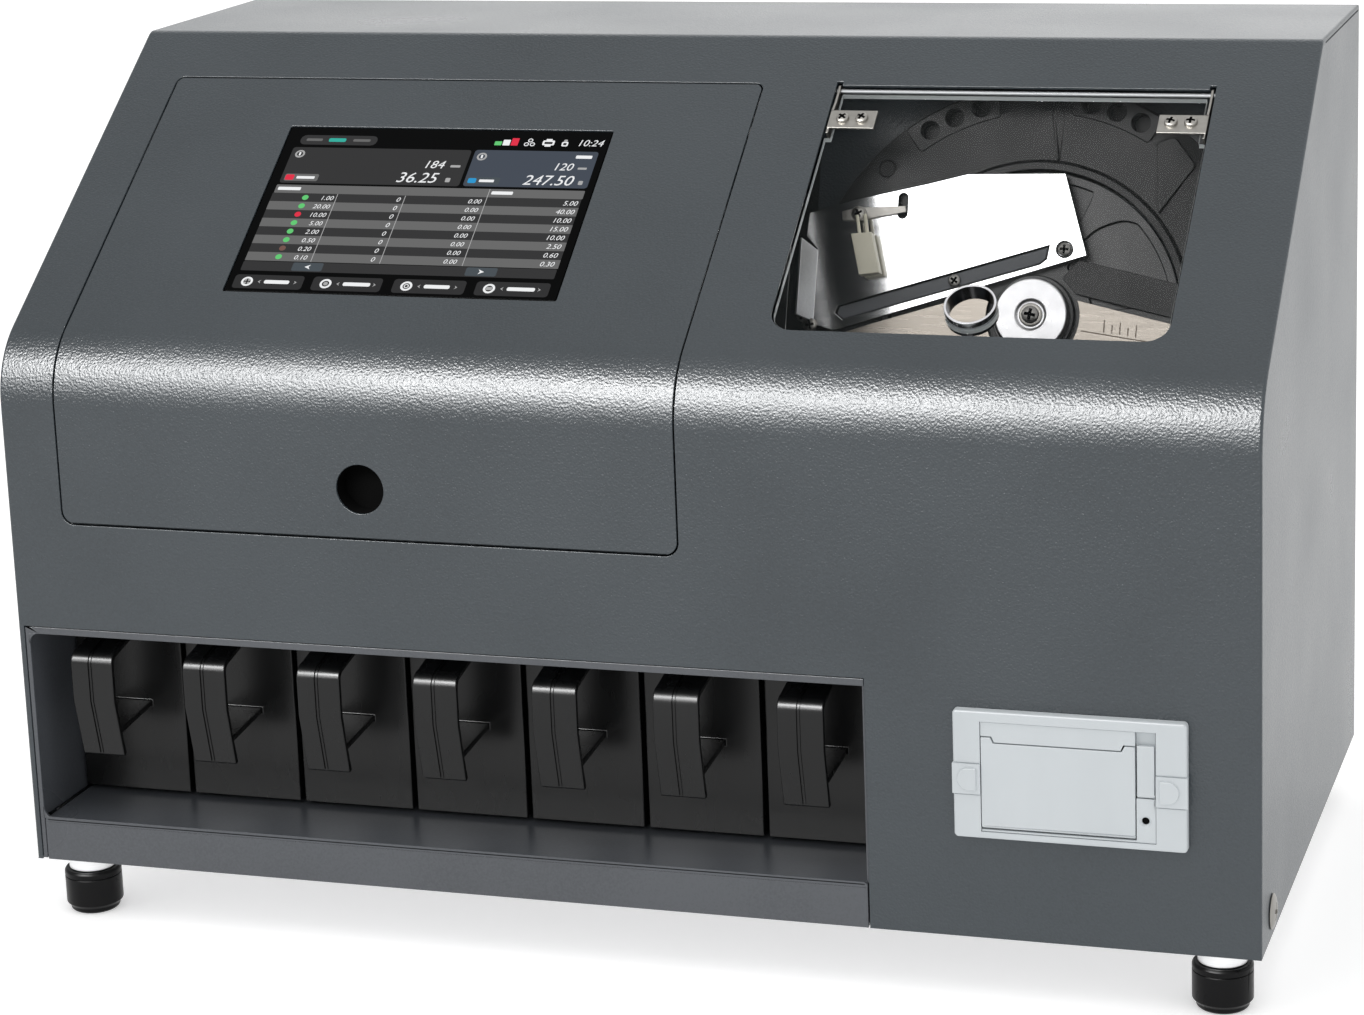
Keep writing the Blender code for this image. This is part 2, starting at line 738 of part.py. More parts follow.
def belt(name, wheels, steps, out_span, cut_span):
    """A closed belt round two wheels, each a centre and a radius."""
    (first, first_radius), (second, second_radius) = wheels
    across, up = second[0] - first[0], second[1] - first[1]
    lean = math.asin((first_radius - second_radius) / math.hypot(across, up))
    base = math.degrees(math.atan2(up, across))
    wrap = 90 - math.degrees(lean)

    def loop(clearance):
        return arc(first, first_radius + clearance, base + wrap, base + 360 - wrap, steps) + arc(
            second, second_radius + clearance, base - wrap, base + wrap, steps
        )

    band = mech_prism(name, loop(2.0), out_span, "belt_rubber")
    cut(band, mech_prism("inside", loop(0.5), cut_span))


def build_feed_drive():
    feed_rim = [(6.2, -33), *pulley_rim(FEED_PULLEY_R, 2.5), (6.2, -23)]
    motor_rim = [(0, -34), (3.0, -34), (3.0, -33), *pulley_rim(MOTOR_PULLEY_R, 2), (0, -23)]
    pivot(
        "feed_disc_spin",
        mech(0, 0, 0),
        make_feed_disc(),
        mech_turned("hub_cap", CENTRE, CAP_PROFILE, "aluminium", 32),
        mech_rod("feed_shaft", CENTRE, 5.9, (-40, 1.2), 24, "zinc"),
        mech_turned("feed_pulley", CENTRE, feed_rim, "aluminium", 32),
    )
    motor_pulley = mech_turned("motor_pulley", MOTOR, motor_rim, "aluminium", 24)
    pivot("motor_spin", mech(*MOTOR, -28), motor_pulley)
    wheels = ((CENTRE, FEED_PULLEY_R), (MOTOR, MOTOR_PULLEY_R))
    belt("drive_belt", wheels, 12, (-31, -25), (-36, -20))
    motor = mech_turned("feed_motor", MOTOR, MOTOR_PROFILE, "zinc")
    posts = [
        mech_rod("post", polar(MOTOR, 20, angle), 3.0, (-41, -19.4), 12)
        for angle in (200, 340, 270)
    ]
    join(motor, *posts)


# ---------------------------------------------------------------- guide plate and coin flap
# Outlines are in (across, up).
GUIDE = [
    (-101.5, -10.8), (25.8, 30.7), (12.8, 71.4), (-36.5, 70.2), (-56.2, 65.0),
    (-94.7, 55.9), (-117.4, 48.8), (-118.2, 37.0), (-112, 30.5), (-112, -7.6),
]
LONG_SLOT = [(-101.0, -1.7), (-96.6, -5.2), (2.5, 25.4), (6.0, 28.2), (7.0, 35.4), (-99.6, 2.0)]
STOP_SLOT = arc((-69.1, 49.4), 2.5, 180, 360, 4) + arc((-69.1, 57.4), 2.5, 0, 180, 4)
GUIDE_FLANGE = [  # across, up, out
    (-111.2, -6.5, 2.3), (-111.2, 29.5, 2.3), (-117.6, 34.5, 14.0), (-117.6, -4.5, 14.0),
]
FLAP_PIVOT = (-90.9, 48.5)
FLAP_TIP = (-68.6, 51.4)
FLAP_ARM = [  # distance from the pivot towards the tip, offset to the arm's upper side
    (-9, -2.2), (0, -3.6), (8, -2.6), (24, -1.6), (24, 1.6), (8, 2.6), (0, 3.6), (-9, 2.2),
]
FLAP_BLOCK = [(-93.0, 37.4), (-87.4, 16.6), (-77.0, 18.0), (-82.4, 38.6)]
LEVEL_PLATE = (
    [(-103, -62), (-103, -13.6), (-79.4, -5.5), (-24.0, 12.0)]
    + arc(CENTRE, 23.6, 152, 381, 16)
    + [(68.5, -1.6), (84, -4.6), (84, -62)]
)


def build_guide_plate():
    plate = mech_prism("guide_plate", GUIDE, (2.0, 3.5), "mirror_steel")
    push = Vector((-1.3 * MM, 0, 0)) - MECH_AXIS * (0.6 * MM)
    flange = prism("flange", [mech(*point) for point in GUIDE_FLANGE], push)
    posts = [
        mech_rod("post", place, 4.0, (0.3, 2.6), 12)
        for place in ((-80, 40.0), (-52, 56.0), (4.0, 62.0))
    ]
    join(plate, flange, *posts)
    cut(
        plate,
        mech_prism("long_slot", LONG_SLOT, (0, 6)),
        mech_prism("stop_slot", STOP_SLOT, (0, 6)),
    )


def make_flap_lever():
    lean = math.atan2(FLAP_TIP[1] - FLAP_PIVOT[1], FLAP_TIP[0] - FLAP_PIVOT[0])
    outline = [
        (
            FLAP_PIVOT[0] + reach * math.cos(lean) - offset * math.sin(lean),
            FLAP_PIVOT[1] + reach * math.sin(lean) + offset * math.cos(lean),
        )
        for reach, offset in FLAP_ARM
    ]
    return join(
        mech_prism("flap_lever", outline, (3.9, 5.3), "zinc"),
        mech_rod("stop_pin", FLAP_TIP, 1.2, (1.4, 5.0), 10),
        mech_rod("screw_head", FLAP_PIVOT, 3.8, (4.4, 7.4), 20),
    )


def make_flap_block():
    pins = []
    for across, up in ((-89.6, 39.6), (-85.6, 40.2)):
        pin_axis = mech(across + 1.2, up - 6, 0) - mech(across, up, 0)
        pins.append(rod("pin", mech(across, up, 8.6), pin_axis, 0.9, (-8, 3), None, 8))
    return join(mech_prism("flap_block", FLAP_BLOCK, (5.6, 12.0), "nylon"), *pins)


def build_coin_guides():
    build_guide_plate()
    pivot("coin_flap_hinge", mech(*FLAP_PIVOT, 4.5), make_flap_lever(), make_flap_block())
    mech_prism("level_plate", LEVEL_PLATE, (0.3, 1.5), "mirror_steel")


# ---------------------------------------------------------------- sorting rail, belt, chutes
RAIL_ACROSS = (-479.0, -127.0)
BELT_R = 9.0
BELT_CENTRES = {"left": (-465.0, 22.0), "right": (-141.0, 22.0)}  # across, up
BELT_WHEEL_PROFILE = [(0, -12), (2.8, -12), (2.8, 0.6), (BELT_R, 0.6), (BELT_R, 7.2), (0, 7.2)]
GATE_HALF_W = 17
GATE_UP = -27  # lower edge
GATE_MIN_H = 17.0
GATE_STEP = 2.4  # each gate is this much taller than the next one to its right
CHUTE_Y = (112, 186)


def build_sorting_rail():
    rail = mech_prism("sorting_rail", rect(RAIL_ACROSS, (-32, 38)), (-3.0, 0.0), "mirror_steel")
    join(rail, mech_prism("ledge", rect(RAIL_ACROSS, (-32, -29)), (-1.0, 6.0)))
    gates = []
    for i in range(BOX_COUNT - 1):
        middle = BOX_X0 + BOX_W / 2 + BOX_PITCH * i - HUB[0]
        top = GATE_UP + GATE_MIN_H + GATE_STEP * (BOX_COUNT - 2 - i)
        outline = rect((middle - GATE_HALF_W, middle + GATE_HALF_W), (GATE_UP, top))
        gates.append(mech_prism("gate", outline, (-8, 3)))
    shaft_holes = [
        mech_rod("shaft_hole", centre, 3.2, (-8, 4), 12) for centre in BELT_CENTRES.values()
    ]
    cut(rail, *gates, *shaft_holes)


def build_transport_belt():
    for side, centre in BELT_CENTRES.items():
        name = f"belt_pulley_{side}"
        wheel = mech_turned(name, centre, BELT_WHEEL_PROFILE, "aluminium", 20)
        pivot(f"{name}_spin", mech(*centre, 4), wheel)
    wheels = [(centre, BELT_R) for centre in BELT_CENTRES.values()]
    belt("transport_belt", wheels, 8, (1.0, 6.8), (-2, 10))


def build_chute_block():
    chutes = block("chute_block", (6.0, 440.0), CHUTE_Y, (127.0, 148.0), "black_plastic")
    join(chutes, block("chute_tall", (6.0, 364.0), CHUTE_Y, (147.0, 232.0)))
    holes = []
    for i in range(BOX_COUNT):
        x_span = (BOX_X0 + BOX_PITCH * i + 6, BOX_X0 + BOX_PITCH * i + 54)
        holes.append(block("chute", x_span, grow(CHUTE_Y, -4), (120, 240)))
    cut(chutes, *holes)


# ---------------------------------------------------------------- panel printer
BEZEL_X = (486.2, 596.4)
BEZEL_Z = (51.6, 114.2)
BEZEL_CUT_Y = (-9, 3)
COVER_X = (499.6, 572.2)
COVER_TOP_Z = 101.4
COVER_DROP = 2.8
COVER_AXIS = (-3.0, 58.2)  # y, z
LEVER_AXIS = (-3.0, 78.4)
ROLL_AXIS = (31.0, 83.0)


def cover_outline(bottom, gap):
    """Cover outline in (x, z), its top edge stepped down between the paper guides."""
    left, right = COVER_X
    top = COVER_TOP_Z + gap
    dropped = COVER_TOP_Z - COVER_DROP + gap
    return [
        (left - gap, bottom - gap),
        (right + gap, bottom - gap),
        (right + gap, top),
        (right - 4.9 - gap, top),
        (right - 6.2 - gap, dropped),
        (left + 5.8 + gap, dropped),
        (left + 4.5 + gap, top),
        (left - gap, top),
    ]


def build_printer_bezel():
    outline = rounded(BEZEL_X, BEZEL_Z, 2.0, 3)
    bezel = front_prism("printer_bezel", outline, (-4.6, -0.3), "printer_plastic")
    cut(
        bezel,
        front_prism("cover_hole", cover_outline(56.6, 0.4), BEZEL_CUT_Y),
        front_prism("lever_hole", rect((572.4, 581.8), (76.6, 109.0)), BEZEL_CUT_Y),
        rod("lamp_hole", at(576.8, 0, 65.6), Y_AXIS, 1.3, BEZEL_CUT_Y, None, 12),
    )
    # Two keeper ears stand proud of the bezel's face near its left and right edges.
    join(
        bezel,
        block("ear_left", (488.0, 498.0), (-6.0, -4.2), (75.5, 86.5)),
        block("ear_right", (582.6, 592.6), (-6.0, -4.2), (77.0, 88.0)),
    )


def rocking_plate(name, outline, axis, thickness):
    """A plate in (x, z) whose lower edge is rounded about the axis it turns on."""
    y, z = axis
    left = min(x for x, _ in outline)
    right = max(x for x, _ in outline)
    y_span = (y - thickness / 2, y + thickness / 2)
    plate = front_prism(name, outline, y_span, "printer_plastic")
    barrel = rod("barrel", at(left, y, z), X_AXIS, thickness / 2, (0, right - left), None, 16)
    return join(plate, barrel)


def build_printer():
    build_printer_bezel()
    cover = rocking_plate("printer_cover", cover_outline(COVER_AXIS[1], 0.0), COVER_AXIS, 3.0)
    pivot("printer_cover_hinge", at(536, *COVER_AXIS), cover)
    lever_outline = rect((573.1, 581.2), (LEVER_AXIS[1], 102.2))
    lever = rocking_plate("printer_lever", lever_outline, LEVER_AXIS, 2.8)
    pivot("printer_lever_hinge", at(577, *LEVER_AXIS), lever)

    body = block("printer_body", (490.2, 592.4), (0.0, 62.0), (55.0, 111.0), "black_plastic")
    cut(body, block("bucket", (494.0, 588.0), (-2, 58.0), (58.0, 108.0)))
    join(body, block("spindle_left", (493.0, 503.5), (28, 36), (77, 85)))
    cut(body, block("slot_back", (500, 506), (50, 66), (60, 66)))
    roll_profile = [(6, 0), (22.5, 0), (22.5, 57.5), (6, 57.5)]
    roll = turned("paper_roll", at(505.2, *ROLL_AXIS), X_AXIS, roll_profile, "paper")
    pivot("paper_roll_spin", at(534, *ROLL_AXIS), roll)


# ---------------------------------------------------------------- electronics
SWITCH_AXIS = (319.0, 66.0)  # y, z
SWITCH_TILT = math.radians(-6)
ROCKER = [(-4.0, -6.0), (4.4, -9.0), (3.2, 0.0), (4.4, 9.0), (-4.0, 6.0)]  # y, z untilted


def build_boards():
    block("power_supply", (456, 556), (205, 305), (2.4, 46), "zinc")
    board = block("control_board", (80, 262), (296.4, 298.0), (168, 306), "board_green")
    standoffs = [
        block("standoff", (x, x + 6), (297, 321.8), (z, z + 6))
        for x in (84, 252)
        for z in (172, 296)
    ]
    join(
        board,
        *standoffs,
        block("processor", (140, 185), (286, 297), (215, 260)),
        block("connector_row", (100, 240), (284, 297), (175, 187)),
    )


def build_power_inlet():
    inlet = block("power_inlet", (566.0, 606.0), (324.0, 325.0), (24.0, 84.0), "black_plastic")
    join(inlet, block("inlet_body", (569.0, 603.0), (300.0, 324.5), (27.0, 81.0)))
    cut(
        inlet,
        block("socket", (573.5, 598.5), (308, 327), (31, 50)),
        block("switch_well", (574.0, 598.0), (310, 327), (56, 76)),
    )
    outline = [
        (
            SWITCH_AXIS[0] + y * math.cos(SWITCH_TILT) - z * math.sin(SWITCH_TILT),
            SWITCH_AXIS[1] + y * math.sin(SWITCH_TILT) + z * math.cos(SWITCH_TILT),
        )
        for y, z in ROCKER
    ]
    switch = side_prism("power_switch", outline, (575.0, 597.0), "black_plastic")
    pivot("power_switch_rock", at(586, *SWITCH_AXIS), switch)


# ---------------------------------------------------------------- build
for old in list(bpy.data.objects):
    bpy.data.objects.remove(old)

build_outer_case()
build_base_chassis()
build_rear_panel()
build_bay()
build_feet()
build_side_screws()
for box_index in range(BOX_COUNT):
    build_coin_box(box_index)
build_access_door()
build_hopper_lid()
build_mechanism_plate()
build_hopper_ring()
build_feed_drive()
build_coin_guides()
build_sorting_rail()
build_transport_belt()
build_chute_block()
build_printer()
build_boards()
build_power_inlet()

for thing in bpy.context.scene.collection.objects:
    if thing.type == "MESH":
        thing.data.shade_smooth()
        thing.data.set_sharp_from_angle(angle=math.radians(35))
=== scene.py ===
"""The looks of the coin sorting machine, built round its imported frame.

Case millimetres are used throughout, as on the solids: x to the right from the left side,
y to the back from the front face, z up from the case's bottom edge. at() turns them into
the frame's metres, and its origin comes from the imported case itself.
"""

import json
import math

import bmesh
import bpy
from mathutils import Matrix, Vector

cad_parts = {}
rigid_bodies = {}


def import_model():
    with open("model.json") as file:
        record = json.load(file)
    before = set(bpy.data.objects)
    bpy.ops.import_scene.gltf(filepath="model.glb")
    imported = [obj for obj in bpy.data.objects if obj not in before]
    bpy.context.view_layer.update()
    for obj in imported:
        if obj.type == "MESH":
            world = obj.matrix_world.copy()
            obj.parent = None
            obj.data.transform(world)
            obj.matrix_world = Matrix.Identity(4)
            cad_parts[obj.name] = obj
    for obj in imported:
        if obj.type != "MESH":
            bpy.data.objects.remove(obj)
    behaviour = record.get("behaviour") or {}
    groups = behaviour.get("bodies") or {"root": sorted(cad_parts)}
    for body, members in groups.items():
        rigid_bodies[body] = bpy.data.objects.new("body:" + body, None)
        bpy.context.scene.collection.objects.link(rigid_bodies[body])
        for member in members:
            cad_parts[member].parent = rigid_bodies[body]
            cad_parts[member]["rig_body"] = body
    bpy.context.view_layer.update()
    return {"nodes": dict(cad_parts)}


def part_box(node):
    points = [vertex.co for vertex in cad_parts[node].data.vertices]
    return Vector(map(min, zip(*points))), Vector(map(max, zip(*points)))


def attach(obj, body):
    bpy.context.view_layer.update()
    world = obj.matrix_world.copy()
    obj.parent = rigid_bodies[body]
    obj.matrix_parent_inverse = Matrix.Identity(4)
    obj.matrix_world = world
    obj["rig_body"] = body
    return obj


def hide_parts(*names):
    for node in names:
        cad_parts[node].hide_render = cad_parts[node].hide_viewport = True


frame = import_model()
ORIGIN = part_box("outer_case")[0]
LOOK = "_look"
FINE = 3
# ---------------------------------------------------------------- driving dimensions
CASE_W = 630.0
CASE_D = 325.0
CASE_H = 401.0
SHEET = 1.5
FOOT_H = 30.0
BEND_Z = 263.0  # height where the front face and the slope would meet
SLOPE_TOP_Y = 192.0  # where the slope would meet the top
BEND_R = 45.0
TOP_R = 8.0
PROUD = 6.0  # how far the printer stands in front of the case

DOOR_X = (30.2, 353.0)
DOOR_Z0 = 180.2
DOOR_S1 = 201.0
DOOR_GAP = 0.8
DOOR_PIVOT_S = 226.0
DOOR_PIVOT_DEPTH = 12.0
FINGER_HOLE = (192.0, 205.0, 12.35)  # x, z, radius
SCREEN_X = (106.5, 282.0)
SCREEN_S = (51.0, 165.7)

WINDOW_X = (391.5, 582.2)
WINDOW_S = (37.0, 201.0)
LID_X = (392.3, 581.4)
LID_S = (38.0, 196.2)
LID_DEPTH = (1.6, 4.6)
LID_PIVOT_S = 200.2
LID_PIVOT_DEPTH = 3.8
RING_S = 55.0

BAY_X = (3.2, 442.8)
BAY_Z = 125.0
TRAY_Z = 21.8
BOX_X0 = 6.1
BOX_PITCH = 62.2
BOX_W = 59.8
BOX_COUNT = 7
BOX_Y = (47.0, 272.0)
BOX_Z = (23.8, 120.0)
BOX_WALL = 2.0
HANDLE_W = 23.0

HUB = (493.0, 150.0, 268.0)
MECH_TILT = math.radians(20.0)
RING_OUT = 117.5
RING_IN = 74.0
DISC_R = 73.0
FEED_PULLEY_R = 24.0
MOTOR_PULLEY_R = 9.0
MOTOR_B = -60.0
RAIL_A = (-479.0, -127.0)
BELT_R = 9.0
BELT_A = (-465.0, -141.0)
BELT_B = 22.0
FLAP_PIVOT = (-90.9, 48.5)

BEZEL_X = (486.2, 596.4)
BEZEL_Z = (51.6, 114.2)
COVER_AXIS = (-3.0, 58.2)  # y, z
LEVER_AXIS = (-3.0, 78.4)

FEET = {  # x, y
    "front_left": (22.8, 15.8),
    "front_right": (609.2, 15.8),
    "rear_left": (28.0, 302.0),
    "rear_right": (602.0, 302.0),
}

SEGMENTS = 32
Y_MID = (CASE_D - PROUD) / 2

TURN = math.pi / 2 - math.atan2(CASE_H - BEND_Z, SLOPE_TOP_Y)
SLOPE = math.atan2(CASE_H - BEND_Z, SLOPE_TOP_Y)
S_START = BEND_R * math.tan(TURN / 2)
S_CORNER = math.hypot(SLOPE_TOP_Y, CASE_H - BEND_Z)
S_END = S_CORNER - TOP_R * math.tan(SLOPE / 2)
U_FRONT = BEND_Z - S_START
U_BEND = U_FRONT + BEND_R * TURN


# ---------------------------------------------------------------- frames
def at(x, y, z):
    return ORIGIN + Vector((x, y, z)) * 0.001


def skin(u, depth):
    """(y, z) of a point of the case's skin, u along the outside from the bottom edge."""
    if u <= U_FRONT:
        return depth, u
    if u <= U_BEND:
        phi = (u - U_FRONT) / BEND_R
        r = BEND_R - depth
        return BEND_R - r * math.cos(phi), U_FRONT + r * math.sin(phi)
    s = S_START + u - U_BEND
    return on_slope(s, depth)


def on_slope(s, depth):
    return (
        s * math.cos(SLOPE) + depth * math.sin(SLOPE),
        BEND_Z + s * math.sin(SLOPE) - depth * math.cos(SLOPE),
    )


def u_of(s):
    return U_BEND + s - S_START


def slope_at(x, s, depth):
    y, z = on_slope(s, depth)
    return at(x, y, z)


def mech(a, b, c):
    """A point of the tilted mechanism: a right, b up its face, c out of its face."""
    return at(
        HUB[0] + a,
        HUB[1] + b * math.sin(MECH_TILT) - c * math.cos(MECH_TILT),
        HUB[2] + b * math.cos(MECH_TILT) + c * math.sin(MECH_TILT),
    )


MECH_AXIS = Vector((0, -math.cos(MECH_TILT), math.sin(MECH_TILT)))
SLOPE_OUT = Vector((0, -math.sin(SLOPE), math.cos(SLOPE)))
X_AXIS = Vector((1, 0, 0))
Y_AXIS = Vector((0, 1, 0))
Z_AXIS = Vector((0, 0, 1))


# ---------------------------------------------------------------- modelling helpers
def finish(name, bm, slot=None):
    bmesh.ops.remove_doubles(bm, verts=bm.verts, dist=1e-7)
    bmesh.ops.recalc_face_normals(bm, faces=bm.faces)
    mesh = bpy.data.meshes.new(name + LOOK)
    bm.to_mesh(mesh)
    bm.free()
    obj = bpy.data.objects.new(name + LOOK, mesh)
    bpy.context.scene.collection.objects.link(obj)
    return obj


def prism(name, points, along, slot=None):
    """A flat outline of 3-D points, pushed out by a vector."""
    bm = bmesh.new()
    face = bm.faces.new([bm.verts.new(p) for p in points])
    pushed = bmesh.ops.extrude_face_region(bm, geom=[face])
    moved = [g for g in pushed["geom"] if isinstance(g, bmesh.types.BMVert)]
    bmesh.ops.translate(bm, verts=moved, vec=along)
    return finish(name, bm, slot)


def block(name, low, high, slot=None):
    (x0, y0, z0), (x1, y1, z1) = low, high
    outline = [at(x0, y0, z0), at(x1, y0, z0), at(x1, y1, z0), at(x0, y1, z0)]
    return prism(name, outline, Vector((0, 0, (z1 - z0) * 0.001)), slot)


def side_prism(name, outline, x0, x1, slot=None):
    """An outline in (y, z), pushed along x."""
    return prism(
        name, [at(x0, y, z) for y, z in outline], X_AXIS * (x1 - x0) * 0.001, slot
    )


def front_prism(name, outline, y0, y1, slot=None):
    """An outline in (x, z), pushed along y."""
    return prism(
        name, [at(x, y0, z) for x, z in outline], Y_AXIS * (y1 - y0) * 0.001, slot
    )


def slope_prism(name, outline, d0, d1, slot=None):
    """An outline in (x, s) on the slope, from depth d0 to depth d1."""
    return prism(
        name,
        [slope_at(x, s, d0) for x, s in outline],
        SLOPE_OUT * (d0 - d1) * 0.001,
        slot,
    )


def mech_prism(name, outline, c0, c1, slot=None):
    return prism(
        name, [mech(a, b, c0) for a, b in outline], MECH_AXIS * (c1 - c0) * 0.001, slot
    )


def turned(name, origin, axis, profile, slot=None, segments=SEGMENTS):
    """A closed outline of (radius, height) points in millimetres, spun about an axis."""
    axis = axis.normalized()
    side = axis.orthogonal().normalized()
    bm = bmesh.new()
    verts = [
        bm.verts.new(origin + side * r * 0.001 + axis * h * 0.001) for r, h in profile
    ]
    edges = [
        bm.edges.new((verts[i], verts[(i + 1) % len(verts)]))
        for i in range(len(verts))
        if profile[i][0] > 0 or profile[(i + 1) % len(verts)][0] > 0
    ]
    bmesh.ops.spin(
        bm,
        geom=verts + edges,
        cent=origin,
        axis=axis,
        angle=2 * math.pi,
        steps=segments * 2,
        use_merge=True,
    )
    bmesh.ops.remove_doubles(bm, verts=bm.verts, dist=1e-6)
    return finish(name, bm, slot)


def rod(name, origin, axis, radius, h0, h1, slot=None, segments=SEGMENTS):
    return turned(
        name, origin, axis, [(0, h0), (radius, h0), (radius, h1), (0, h1)], slot, segments
    )


def combine(target, others, operation):
    """Boolean the others into or out of the target, and remove them."""
    for other in others:
        modifier = target.modifiers.new(other.name, "BOOLEAN")
        modifier.operation = operation
        modifier.solver = "EXACT"
        modifier.object = other
    bpy.context.view_layer.update()
    graph = bpy.context.evaluated_depsgraph_get()
    mesh = bpy.data.meshes.new_from_object(target.evaluated_get(graph))
    target.modifiers.clear()
    target.data = mesh
    for other in others:
        bpy.data.objects.remove(other)
    return target


def cut(target, *others):
    return combine(target, others, "DIFFERENCE")


def join(target, *others):
    return combine(target, others, "UNION")


def arc(cx, cy, r, a0, a1, steps):
    steps *= FINE
    return [
        (
            cx + r * math.cos(math.radians(a0 + (a1 - a0) * i / steps)),
            cy + r * math.sin(math.radians(a0 + (a1 - a0) * i / steps)),
        )
        for i in range(steps + 1)
    ]


def rounded(x0, x1, y0, y1, r, steps=3):
    return (
        arc(x1 - r, y0 + r, r, -90, 0, steps)
        + arc(x1 - r, y1 - r, r, 0, 90, steps)
        + arc(x0 + r, y1 - r, r, 90, 180, steps)
        + arc(x0 + r, y0 + r, r, 180, 270, steps)
    )


def skin_stations(u0, u1):
    """Path positions strictly between u0 and u1 where the skin starts, is in, or ends a bend."""
    wanted = [U_FRONT + (U_BEND - U_FRONT) * i / 36 for i in range(37)]
    return [u for u in wanted if u0 + 0.5 < u < u1 - 0.5]


def skin_plate(name, x0, x1, u0, u1, r0, r1, out, into, slot=None):
    """A plate that follows the skin, with rounded corners, between two depths."""
    stations = []
    for i in range(13):
        t = math.radians(90 * i / 12)
        stations.append((u0 + r0 * (1 - math.cos(t)), r0 * (1 - math.sin(t))))
    stations += [(u, 0.0) for u in skin_stations(u0 + r0, u1 - r1)]
    for i in range(13):
        t = math.radians(90 * i / 12)
        stations.append((u1 - r1 + r1 * math.sin(t), r1 * (1 - math.cos(t))))
    bm = bmesh.new()
    rings = []
    for u, inset in stations:
        outer, inner = skin(u, out), skin(u, into)
        rings.append(
            [
                bm.verts.new(at(x0 + inset, *outer)),
                bm.verts.new(at(x1 - inset, *outer)),
                bm.verts.new(at(x1 - inset, *inner)),
                bm.verts.new(at(x0 + inset, *inner)),
            ]
        )
    for first, second in zip(rings, rings[1:]):
        for i in range(4):
            j = (i + 1) % 4
            bm.faces.new((first[i], first[j], second[j], second[i]))
    bm.faces.new(rings[0])
    bm.faces.new(rings[-1])
    return finish(name, bm, slot)


# ---------------------------------------------------------------- case
def case_outline(depth, low, back):
    """The case's side view at a depth inside its skin."""
    points = [(depth, low)]
    points += [skin(U_FRONT + (U_BEND - U_FRONT) * i / 36, depth) for i in range(37)]
    y_turn, z_turn = on_slope(S_END, TOP_R)
    r = TOP_R - depth
    for i in range(11):
        t = math.pi / 2 + SLOPE * (1 - i / 10)
        points.append((y_turn + r * math.cos(t), z_turn + r * math.sin(t)))
    return points + [(back, CASE_H - depth), (back, low)]


outer_case = side_prism("outer_case", case_outline(0, 0, CASE_D), 0, CASE_W, "case_paint")
hollow = side_prism("hollow", case_outline(SHEET, -2, CASE_D + 2), SHEET, CASE_W - SHEET)
cut(outer_case, hollow)
bay_hole = block("bay_hole", (BAY_X[0], -3, -3), (BAY_X[1], 4, BAY_Z))
door_hole = skin_plate(
    "door_hole",
    DOOR_X[0] - DOOR_GAP,
    DOOR_X[1] + DOOR_GAP,
    DOOR_Z0 - DOOR_GAP,
    u_of(DOOR_S1 + DOOR_GAP),
    7.0,
    4.5,
    -3,
    SHEET + 3,
)
window_outline = (
    [(WINDOW_X[1], WINDOW_S[1])]
    + [(WINDOW_X[0], WINDOW_S[1])]
    + arc(WINDOW_X[0] + 12, WINDOW_S[0] + 12, 12, 180, 270, 5)
    + arc(WINDOW_X[1] - 12, WINDOW_S[0] + 12, 12, 270, 360, 5)
)
window_hole = slope_prism("window_hole", window_outline, -3, SHEET + 3)
notches = [
    slope_prism(
        "notch",
        [(x, WINDOW_S[1] - 4), (x + 3.1, WINDOW_S[1] - 4), (x + 3.1, 203.6), (x, 203.6)],
        -3,
        SHEET + 3,
    )
    for x in (WINDOW_X[0], WINDOW_X[1] - 3.1)
]
printer_hole = block("printer_hole", (489.0, -3, 54.0), (593.5, 4, 112.0))
screw_holes = [
    rod("screw_hole", at(x, 29.0, 13.3), X_AXIS, 2.7, -4, 4, None, 16)
    for x in (0.75, CASE_W - 0.75)
]
cut(outer_case, bay_hole, door_hole)
cut(outer_case, window_hole, printer_hole)
cut(outer_case, *notches)
cut(outer_case, *screw_holes)
# Ears welded under the skin: two hold the lid's rod, two hold the door's rod.
ears = [
    side_prism(
        "ear",
        [on_slope(194, 1.0), on_slope(206, 1.0), on_slope(206, 8.5), on_slope(194, 8.5)],
        x,
        x + SHEET,
    )
    for x in (387.2, 585.0)
] + [
    side_prism(
        "ear",
        [on_slope(219, 1.0), on_slope(232, 1.0), on_slope(232, 18), on_slope(219, 18)],
        x,
        x + SHEET,
    )
    for x in (13.0, 355.5)
]
ear_holes = [
    rod("ear_hole", slope_at(x, LID_PIVOT_S, LID_PIVOT_DEPTH), X_AXIS, 1.7, -3, 3, None, 16)
    for x in (388.0, 585.8)
] + [
    rod("ear_hole", slope_at(x, DOOR_PIVOT_S, DOOR_PIVOT_DEPTH), X_AXIS, 2.3, -3, 3, None, 16)
    for x in (13.8, 356.2)
]
join(outer_case, *ears)
cut(outer_case, *ear_holes)

# ---------------------------------------------------------------- base, rear, bay
base_chassis = block("base_chassis", (2.0, 2.2, 0.4), (CASE_W - 2.0, 321.6, 1.9), "zinc")
join(
    base_chassis,
    block("flange_left", (1.8, 20, 0.4), (3.0, 310, 20)),
    block("flange_right", (CASE_W - 3.0, 20, 0.4), (CASE_W - 1.8, 310, 20)),
)
cut(
    base_chassis,
    *[
        rod("chassis_hole", at(x, 29.0, 13.3), X_AXIS, 2.7, -3, 3, None, 16)
        for x in (2.4, CASE_W - 2.4)
    ],
)

